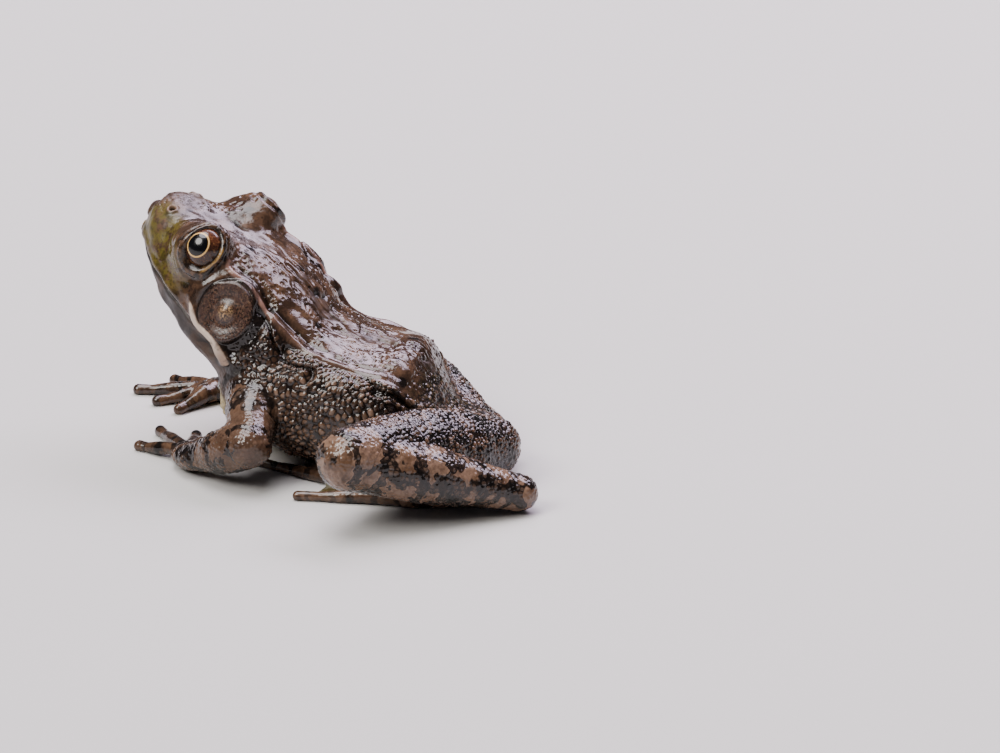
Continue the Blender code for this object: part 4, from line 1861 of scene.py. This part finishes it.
@dataclass(frozen=True)
class SkinFinish(Finish):
    """Wet frog skin: umber back, olive snout, pebbled flanks, barred limbs and a pale belly."""

    name: str = "wet_skin"
    umber: Colour = rgb(0.040, 0.021, 0.0125)
    bronze: Colour = rgb(0.092, 0.050, 0.028)
    # Near black: the skin's own black marks, and the painted shade of creases, hollows, pebble gaps, lid
    # edges and the jaw.
    black_and_shade: Colour = rgb(0.0035, 0.0025, 0.002)
    olive: Colour = rgb(0.080, 0.062, 0.011)
    moss: Colour = rgb(0.060, 0.047, 0.017)
    slate: Colour = rgb(0.130, 0.125, 0.090)
    tan: Colour = rgb(0.205, 0.128, 0.088)
    rose: Colour = rgb(0.230, 0.128, 0.098)
    cream: Colour = rgb(0.500, 0.400, 0.320)
    belly: Colour = rgb(0.420, 0.335, 0.165)
    drum: Colour = rgb(0.036, 0.016, 0.011)
    straw: Colour = rgb(0.420, 0.260, 0.125)
    gold: Colour = rgb(0.330, 0.190, 0.060)
    back_clouds: Speckle = Speckle(0.005, 0.36, 0.66, 3.0, 0.6)
    pores: Speckle = Speckle(0.0019, 0.17, 0.08)
    pore_patches: Speckle = Speckle(0.004, 0.45, 0.6)
    flecks: Speckle = Speckle(0.0046, 0.27, 0.20)
    fleck_patches: Speckle = Speckle(0.009, 0.50, 0.56, 1.0)
    olive_clouds: Speckle = Speckle(0.0024, 0.34, 0.56, 3.0, 0.7)
    smudges: Speckle = Speckle(0.0046, 0.50, 0.58, 3.0, 0.62)
    grit: Speckle = Speckle(0.0007, 0.50, 0.62, 2.0, 0.7)
    pale_lit_pebbles: Speckle = Speckle(0.005, 0.20, 0.55)
    leg_browns: Speckle = Speckle(0.004, 0.3, 0.6, 3.0)
    bar_margins: Speckle = Speckle(0.006, 0.38, 0.52)
    leg_pales: Speckle = Speckle(0.0062, 0.40, 0.51, 3.0, 0.6)
    leg_mottle: Speckle = Speckle(0.0011, 0.36, 0.58, 3.0, 0.65)
    leg_blots: Speckle = Speckle(0.0048, 0.515, 0.545, 2.0, 0.55)
    web_clouds: Speckle = Speckle(0.002, 0.35, 0.6, 3.0)
    digit_clouds: Speckle = Speckle(0.0016, 0.35, 0.65, 3.0)
    drum_clouds: Speckle = Speckle(0.0008, 0.40, 0.80, 3.0, 0.7)
    drum_flecks: Speckle = Speckle(0.00036, 0.50, 0.58, 2.0, 0.6)
    drum_patches: Speckle = Speckle(0.0016, 0.25, 0.45)
    drum_specks: Speckle = Speckle(0.00044, 0.55, 0.66, 2.0, 0.6)
    drum_gold: Speckle = Speckle(0.0005, 0.38, 0.58, 3.0)
    rump_streaks: Speckle = Speckle(0.0011, 0.42, 0.62, 3.0, 0.6)
    jaw_clouds: Speckle = Speckle(0.0042, 0.40, 0.58, 3.0, 0.6)
    belly_clouds: Speckle = Speckle(0.004, 0.46, 0.62, 3.0)
    lid_clouds: Speckle = Speckle(0.0012, 0.4, 0.65, 3.0)
    lip_smears: Speckle = Speckle(0.0021, 0.50, 0.64, 3.0, 0.6)
    dry_patches: Speckle = Speckle(0.0052, 0.43, 0.53, 3.0, 0.6)
    wander: tuple[float, float] = (0.0035, 0.0024)
    grain: float = 0.0001
    ior: float = 1.5
    specular: float = 0.45

    def back_colour(self, tree: Tree, place: Wire, wander: Wire) -> Wire:
        """The brown of the back and head, with scattered black flecks.

        Args:
            tree: The material's nodes.
            place: The point's place.
            wander: The same place, moved about.

        Returns:
            The colour.
        """
        colour = tree.blend(tree.clouds(place, self.back_clouds), self.umber, self.bronze)
        pores = tree.spots(place, self.pores) * tree.clouds(place, self.pore_patches)
        flecks = tree.spots(wander, self.flecks) * tree.clouds(place, self.fleck_patches)
        smudge = tree.clouds(wander, self.smudges) * 0.55
        grit = tree.clouds(place, self.grit) * 0.45
        return tree.layered(
            colour,
            (pores.greatest(flecks) * 0.9, self.black_and_shade),
            (tree.mark("olive") * tree.clouds(place, self.olive_clouds), self.olive),
            (smudge.greatest(grit), self.black_and_shade),
        )

    def pebble_colour(self, tree: Tree, place: Wire, colour: Wire) -> Wire:
        """Painted shade in the gaps between the pebbles of the flanks and legs, and paler tops on some,
        partly their own tan and partly painted highlight.

        Args:
            tree: The material's nodes.
            place: The point's place.
            colour: What lies below.

        Returns:
            The colour.
        """
        granular, bead = tree.mark("granular"), tree.mark("bead")
        pale_lit_tops = granular * bead.between(0.45, 0.95) * tree.mark("own").between(0.2, 1.0)
        pale_lit_tops = pale_lit_tops * tree.clouds(place, self.pale_lit_pebbles)
        return tree.layered(
            colour,
            # Painted shade between the pebbles.
            (granular * bead.between(0.55, 0.05) * 0.92, self.black_and_shade),
            # Paler tops: the pebbles' own tan, and a painted highlight on their crowns.
            (pale_lit_tops * (0.75 - 0.45 * tree.mark("limb")), self.tan),
        )

    def leg_colour(self, tree: Tree, place: Wire, wander: Wire, colour: Wire) -> Wire:
        """Black crossbars with ragged edges and tan margins, and dusky webs.

        Args:
            tree: The material's nodes.
            place: The point's place.
            wander: The same place, moved about.
            colour: What lies below.

        Returns:
            The colour.
        """
        limb, hind, digit = tree.mark("limb"), tree.mark("hind"), tree.mark("digit")
        smooth = limb - tree.mark("beaded")
        ragged = (tree.noise(place, 0.0055, 3.0, 0.62) - 0.5) * 1.7
        broken = tree.noise(place, 0.0068, 2.0, 0.6) * 1.5 - 0.75
        wave = ((tree.mark("bar") + ragged) * math.tau).sine() + broken
        browner = tree.clouds(place, self.leg_browns) * (0.40 + 0.40 * hind)
        margin = wave.between(-0.1, 0.35) * limb * tree.clouds(place, self.bar_margins)
        pale = smooth.between(0.3, 0.6) * tree.clouds(place, self.leg_pales)
        pale = margin.greatest(pale) * (0.12 + 0.78 * hind)
        dusky = tree.blend(tree.clouds(place, self.digit_clouds), self.umber, self.bronze)
        web = tree.blend(tree.clouds(place, self.web_clouds), self.moss, self.slate)
        return tree.layered(
            colour,
            (limb * browner, self.bronze),
            (pale * (0.45 + 0.55 * tree.clouds(place, self.leg_mottle)), self.tan),
            (wave.between(0.38, 0.52) * limb * (0.93 - 0.2 * digit), self.black_and_shade),
            (tree.clouds(wander, self.leg_blots) * limb * 0.94, self.black_and_shade),
            (digit * wave.between(0.9, 0.2) * 0.6, dusky),
            (tree.mark("web") * 0.85, web),
        )

    def drum_colour(self, tree: Tree, place: Wire) -> Wire:
        """The eardrum: dark brown with fine black flecks, and a tan middle.

        Args:
            tree: The material's nodes.
            place: The point's place.

        Returns:
            The colour.
        """
        flecks = tree.clouds(place, self.drum_flecks) * tree.clouds(place, self.drum_patches)
        specks = tree.clouds(tree.stretched(place, (1.0, 1.1, 0.9)), self.drum_specks)
        middle = tree.mark("drum_middle").between(0.10, 0.8) * tree.clouds(place, self.drum_gold)
        return tree.layered(
            tree.blend(tree.clouds(place, self.drum_clouds), self.drum, self.bronze),
            (specks * 0.32, self.tan),
            (middle * 0.9, self.straw),
            (flecks * 0.85, self.black_and_shade),
        )

    def lip_colour(self, tree: Tree, wander: Wire) -> Wire:
        """The pale stripe of the lip, browner at its rear end."""
        cream = tree.blend(tree.mark("gland") * 0.85, self.cream, self.tan)
        return tree.blend(tree.clouds(wander, self.lip_smears) * 0.55, cream, self.umber)

    def colour(self, tree: Tree, place: Wire, wander: Wire) -> Wire:
        """The whole skin's colour.

        Args:
            tree: The material's nodes.
            place: The point's place.
            wander: The same place, moved about.

        Returns:
            The colour.
        """
        mark = tree.mark
        streak = tree.clouds(tree.stretched(place, (1.0, 1.0, 0.28)), self.rump_streaks)
        colour = self.back_colour(tree, place, wander)
        colour = tree.blend(mark("rump") * streak * 0.7, colour, self.moss)
        colour = self.leg_colour(tree, place, wander, colour)
        colour = self.pebble_colour(tree, place, colour)
        belly = tree.blend(tree.clouds(wander, self.belly_clouds) * 0.5, self.belly, self.umber)
        return tree.layered(
            colour,
            # Painted shade in the creases and under the side folds.
            (mark("crease_shade") * 0.9, self.black_and_shade),
            # The jaw: its own dark brown, and painted shade under the head.
            (mark("jaw") * 0.85, tree.blend(tree.clouds(wander, self.jaw_clouds), self.umber, self.black_and_shade)),
            (mark("belly"), belly),
            (mark("fold") * 0.8, self.rose),
            (mark("lid") * 0.8, tree.blend(tree.clouds(place, self.lid_clouds), self.black_and_shade, self.bronze)),
            # Painted shade at the lids' edges.
            (mark("shaded_lid_edge") * 0.5, self.black_and_shade),
            (mark("nostril_rim") * 0.85, self.tan),
            (mark("gold"), self.gold),
            (mark("drum"), self.drum_colour(tree, place)),
            (mark("cream").between(0.2, 1.0) * 0.92, self.lip_colour(tree, wander)),
            # Painted shade in the mouth, nostrils and grooves.
            (mark("hollow_shade") * 0.97, self.black_and_shade),
        )

    def dress(self, tree: Tree) -> None:
        """Feeds the shader.

        Args:
            tree: The material's nodes.
        """
        mark, place = tree.mark, tree.place()
        wander = tree.shaken(place, *self.wander)
        fine = tree.noise(place, 0.00042, 3.0, 0.62)
        ripple = tree.noise(wander, 0.0013, 3.0, 0.6)
        height = fine * 0.20 + ripple * 0.42 + tree.cells(place, 0.00055) * 0.16
        rough = 0.035 + 0.10 * tree.noise(place, 0.0017, 2.0) + 0.04 * fine
        rough = rough + 0.22 * mark("belly") + 0.12 * mark("drum") + 0.35 * mark("jaw")
        zones = 0.22 * mark("band") + 0.08 * mark("crown") + 0.15 * mark("rump")
        dry = tree.clouds(wander, self.dry_patches) * (0.03 + zones)
        rough = rough + dry + 0.22 * mark("muzzle")
        tree.set(
            Base_Color=self.colour(tree, place, wander),
            Roughness=rough,
            Normal=tree.bump(height, self.grain),
            IOR=self.ior,
            Specular_IOR_Level=self.specular,
        )


@dataclass(frozen=True)
class EyeFinish(Finish):
    """A frog's eye: a wide black pupil in a thin gold ring, and a dark copper iris."""

    name: str = "eye"
    black: Colour = rgb(0.0015, 0.0015, 0.002)
    gold: Colour = rgb(0.62, 0.38, 0.13)
    copper: Colour = rgb(0.022, 0.008, 0.004)
    rust: Colour = rgb(0.110, 0.036, 0.015)
    pupil: tuple[float, float] = (0.00198, 0.00222)
    ring: float = 0.11
    ring_breaks: Speckle = Speckle(0.0006, 0.15, 0.45)
    fibre_size: float = 0.00036
    fibre_depth: float = 0.00003
    roughness: float = 0.18
    specular: float = 0.15
    coat_roughness: float = 0.015
    coat_ior: float = 1.38

    def dress(self, tree: Tree) -> None:
        """Feeds the shader.

        Args:
            tree: The material's nodes.
        """
        place = tree.place()
        across, over = tree.axis(place, "X"), tree.axis(place, "Y")
        out = ((across / self.pupil[0]) ** 2.0 + (over / self.pupil[1]) ** 2.0) ** 0.5
        fibres = tree.noise(tree.stretched(place, (1.0, 1.0, 0.4)), self.fibre_size, 4.0, 0.7)
        upper = over.between(0.0010, 0.0030) * fibres.between(0.3, 0.6)
        rim = 1.0 + self.ring
        ring = out.between(0.985, 1.01) * out.between(rim + 0.03, rim)
        colour = tree.layered(
            tree.blend(fibres.between(0.45, 0.72) * 0.6, self.copper, self.rust),
            (upper * 0.8, self.rust),
            (fibres.between(0.60, 0.70) * 0.35, self.gold),
            (out.between(1.70, 1.90), self.black),
            (ring * tree.clouds(place, self.ring_breaks), self.gold),
            (out.between(1.01, 0.985), self.black),
        )
        tree.set(
            Base_Color=colour,
            Roughness=self.roughness,
            Normal=tree.bump(fibres, self.fibre_depth),
            Specular_IOR_Level=self.specular,
            Coat_Weight=1.0,
            Coat_Roughness=self.coat_roughness,
            Coat_IOR=self.coat_ior,
        )


@dataclass(frozen=True)
class FloorFinish(Finish):
    """A plain pale floor."""

    name: str = "floor"
    colour: Colour = rgb(0.47, 0.464, 0.453)
    roughness: float = 0.85

    def dress(self, tree: Tree) -> None:
        """Feeds the shader."""
        tree.set(Base_Color=self.colour, Roughness=self.roughness)


# ---- the pieces


@dataclass
class Skin:
    """The frog's whole skin, as one mesh over the solids."""

    form: Form
    shift: Array
    lattice: float = 0.44
    rough_cells: int = 4
    margin: float = 2.5
    band: float = 1.8
    chunk: int = 300_000
    rounds: int = 3
    deepest: float = 0.9
    floor: float = 0.01

    def _read(self, points: Array) -> Array:
        """The form's distance at many points, a part at a time."""
        parts = np.array_split(points, max(len(points) // self.chunk, 1))
        return np.concatenate([self.form.base(part) for part in parts])

    def lattice_values(self) -> tuple[Array, Array]:
        """The form's distance on a lattice round it, and the lattice's first point.

        Returns:
            The distances and the point, in the form's millimetres.
        """
        low, high = ((np.array(corner) - self.shift) / METRES for corner in CAD_BOX)
        low, high = low - self.margin, high + self.margin
        wide = self.lattice * self.rough_cells
        count = np.ceil((high - low) / wide).astype(int) + 1
        rough = self._read(lattice_points(low, wide, count)).reshape(tuple(count))
        near = np.abs(rough) < self.band * wide
        for axis in range(3):
            near = near | np.roll(near, 1, axis=axis)
        fine = rough
        for axis in range(3):
            fine, near = (np.repeat(part, self.rough_cells, axis=axis) for part in (fine, near))
        fine[near] = self._read(low + np.argwhere(near) * self.lattice)
        return fine, low

    def mesh(self) -> tuple[Array, Array, dict[str, Array]]:
        """The skin's vertices, its faces and its marks.

        Returns:
            The points in metres, rows of four of their numbers, and values by name.
        """
        values, low = self.lattice_values()
        vertices, faces = surface_nets(values, low, self.lattice)
        vertices, faces = quartered(vertices, faces)
        vertices = self.form.settle(vertices, self.form.base, 2)
        slope = self.form.slope(vertices, self.form.base)[1]
        normal = slope / np.maximum(np.linalg.norm(slope, axis=1), 0.1)[:, None]
        ground = vertices.copy()
        for _ in range(self.rounds):
            depth = np.clip(self.form.detail(vertices), -self.deepest, self.deepest)
            vertices -= normal * depth[:, None]
        relief = Relief(self.form, vertices, ground)
        relief.lay_out()
        lift = relief.raise_skin() * smooth_step(0.2, 1.2, vertices[:, 2])
        vertices += normal * lift[:, None]
        vertices[:, 2] = np.maximum(vertices[:, 2], self.floor)
        return vertices * METRES + self.shift, faces, relief.marks

    def build(self) -> bpy.types.Object:
        """Makes the skin and gives it its finish.

        Returns:
            The object.
        """
        vertices, faces, marks = self.mesh()
        made = make_object("skin", vertices, faces, SkinFinish(), marks)
        flesh = [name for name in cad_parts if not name.startswith("eye")]
        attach(made, "root")
        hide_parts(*flesh)
        LOG.info("skin: %d vertices, %d faces", len(vertices), len(faces))
        return made


@dataclass
class Eye:
    """One eyeball, with its cornea's bulge over the iris."""

    side: Side
    form: Form
    shift: Array
    rings: int = 48
    sides: int = 72
    bulge: float = 0.18
    cornea: float = 0.66
    gaze: float = math.radians(9.0)

    def turning(self) -> Matrix:
        """The turn that brings the ball's pole to where the eye faces, with its top up.

        Returns:
            The turn.
        """
        out, back, up = self.form.socket.axes()
        out = out * math.cos(self.gaze) - back * math.sin(self.gaze)
        mirror = np.array([self.side.value, 1.0, 1.0])
        head = self.form.head.axes()
        out, up = (Vector((axis * mirror) @ head) for axis in (out, up))
        across = up.cross(out)
        return Matrix((across, up, out)).transposed().to_4x4()

    def mesh(self) -> tuple[Array, Array]:
        """The ball's vertices and faces, about its own middle.

        Returns:
            The points in metres, and rows of four of their numbers.
        """
        angle = np.linspace(0.0, math.pi, self.rings + 1)[:, None]
        turn = np.linspace(0.0, math.tau, self.sides, endpoint=False)[None, :]
        size = self.form.socket.radius + self.bulge * np.exp(-((angle / self.cornea) ** 4))
        ring = np.sin(angle) * size
        height = np.broadcast_to(np.cos(angle) * size, (self.rings + 1, self.sides))
        vertices = np.stack([np.cos(turn) * ring, np.sin(turn) * ring, height], axis=-1)
        k, j = np.meshgrid(np.arange(self.rings), np.arange(self.sides), indexing="ij")
        first, beside = k * self.sides + j, k * self.sides + (j + 1) % self.sides
        faces = np.stack([first, first + self.sides, beside + self.sides, beside], axis=-1)
        return vertices.reshape(-1, 3) * METRES, faces.reshape(-1, 4)

    def build(self) -> bpy.types.Object:
        """Makes the eyeball.

        Returns:
            The object.
        """
        name = f"eye_{self.side.word}_ball"
        vertices, faces = self.mesh()
        made = make_object(name, vertices, faces, EyeFinish(), {})
        side, back, up = self.form.socket.centre
        spot = self.form.head.place(side * self.side.value, back, up) * METRES + self.shift
        made.matrix_world = Matrix.Translation(Vector(spot)) @ self.turning()
        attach(made, "root")
        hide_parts(f"eye_{self.side.word}")
        LOG.info("%s: %d faces", name, len(faces))
        return made


@dataclass
class SoftBox:
    """One soft light that faces the frog."""

    name: str
    place: Point
    size: tuple[float, float]
    power: float
    colour: Point

    def build(self) -> None:
        """Hangs the light."""
        data = bpy.data.lights.new(self.name, "AREA")
        data.shape, data.size, data.size_y = "RECTANGLE", *self.size
        data.energy, data.color = self.power, self.colour
        made = in_scene(self.name, data)
        made.location = self.place
        aim = Vector((0.0, 0.0, 0.02)) - Vector(self.place)
        made.rotation_euler = aim.to_track_quat("-Z", "Y").to_euler()
        LOG.info("%s: %.1f W", self.name, self.power)


@dataclass
class SoftSky:
    """One round patch of soft light, so far off that it lights the whole floor alike."""

    name: str
    towards: Point
    width: float
    strength: float
    colour: Point

    def build(self) -> None:
        """Hangs the light."""
        data = bpy.data.lights.new(self.name, "SUN")
        data.angle, data.energy, data.color = math.radians(self.width), self.strength, self.colour
        made = in_scene(self.name, data)
        made.rotation_euler = Vector(self.towards).to_track_quat("Z", "Y").to_euler()
        LOG.info("%s: %.2f W/m2", self.name, self.strength)


@dataclass
class Studio:
    """The floor, the lights and the camera."""

    shift: Array
    azimuth: float = math.radians(112.0)
    elevation: float = math.radians(21.0)
    distance: float = 1.8
    aim: tuple[float, float] = (30.5, 14.0)
    lens: float = 339.6
    sensor: float = 36.0
    clip: tuple[float, float] = (0.05, 200.0)
    floor: float = 60.0
    dim: Colour = rgb(0.92, 0.88, 1.0)
    dimness: float = 0.10
    wall: Colour = rgb(1.0, 0.98, 0.97)
    lights: tuple = (
        SoftBox("sky_box", (-0.66, 0.11, 0.80), (1.10, 0.42), 19.0, (0.94, 0.79, 1.0)),
        SoftSky("overhead", (-0.02, -0.17, 1.10), 40.0, 4.2, (1.0, 0.95, 0.98)),
        SoftSky("key", (0.58, -0.40, 0.74), 32.0, 3.75, (1.0, 0.96, 0.92)),
    )

    def directions(self) -> tuple[Vector, Vector, Vector]:
        """The camera's right, up and backward directions.

        Returns:
            Three directions of unit length.
        """
        a, e = self.azimuth, self.elevation
        back = Vector((math.sin(a) * math.cos(e), -math.cos(a) * math.cos(e), math.sin(e)))
        right = Vector((math.cos(a), math.sin(a), 0.0))
        return right, back.cross(right), back

    def build_camera(self) -> None:
        """Places the camera at the viewing angle."""
        right, up, back = self.directions()
        target = Vector(self.shift) + (right * self.aim[0] + up * self.aim[1]) * METRES
        data = bpy.data.cameras.new("camera")
        data.lens, data.sensor_width = self.lens, self.sensor
        data.clip_start, data.clip_end = self.clip
        made = in_scene("camera", data)
        turn = Matrix((right, up, back)).transposed().to_4x4()
        made.matrix_world = Matrix.Translation(target + back * self.distance) @ turn
        bpy.context.scene.camera = made

    def build_world(self) -> None:
        """Surrounds the scene with a dim light, behind which the camera sees a pale wall."""
        world = bpy.data.worlds.new("studio")
        tree = Tree(world, "Background")
        tree.set(Color=self.dim, Strength=self.dimness)
        wall = tree.node("ShaderNodeBackground", {}, {"Color": self.wall, "Strength": 1.0})
        seen = tree.node("ShaderNodeLightPath", {}, {}, "Is Camera Ray")
        dim = Wire(tree, tree.shader.outputs[0])
        mixed = tree.node("ShaderNodeMixShader", {}, {0: seen, 1: dim, 2: wall})
        tree.feed(tree.nodes["World Output"].inputs["Surface"], mixed)
        bpy.context.scene.world = world

    def build_floor(self) -> None:
        """Lays the floor."""
        far = self.floor
        corners = np.array([(-far, -far, 0.0), (far, -far, 0.0), (far, far, 0.0), (-far, far, 0.0)])
        floor = make_object("floor", corners, np.array([[0, 1, 2, 3]]), FloorFinish(), {})

    def build(self) -> None:
        """Sets the whole studio up."""
        self.build_camera()
        self.build_world()
        self.build_floor()
        for light in self.lights:
            light.build()


def frog_origin(form: Form) -> Array:
    """Where the frog's own origin lies in metres, from the solids' left eye."""
    low, high = (np.array(corner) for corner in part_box("eye_left"))
    return (low + high) / 2 - form.head.place(*form.socket.centre) * METRES


def main() -> None:
    """Builds every piece and reports it."""
    logging.basicConfig(level=logging.INFO, format="%(name)s: %(message)s")
    form = Form()
    shift = frog_origin(form)
    Studio(shift).build()
    Skin(form, shift).build()
    for side in Side:
        Eye(side, form, shift).build()


if __name__ == "__main__":
    main()
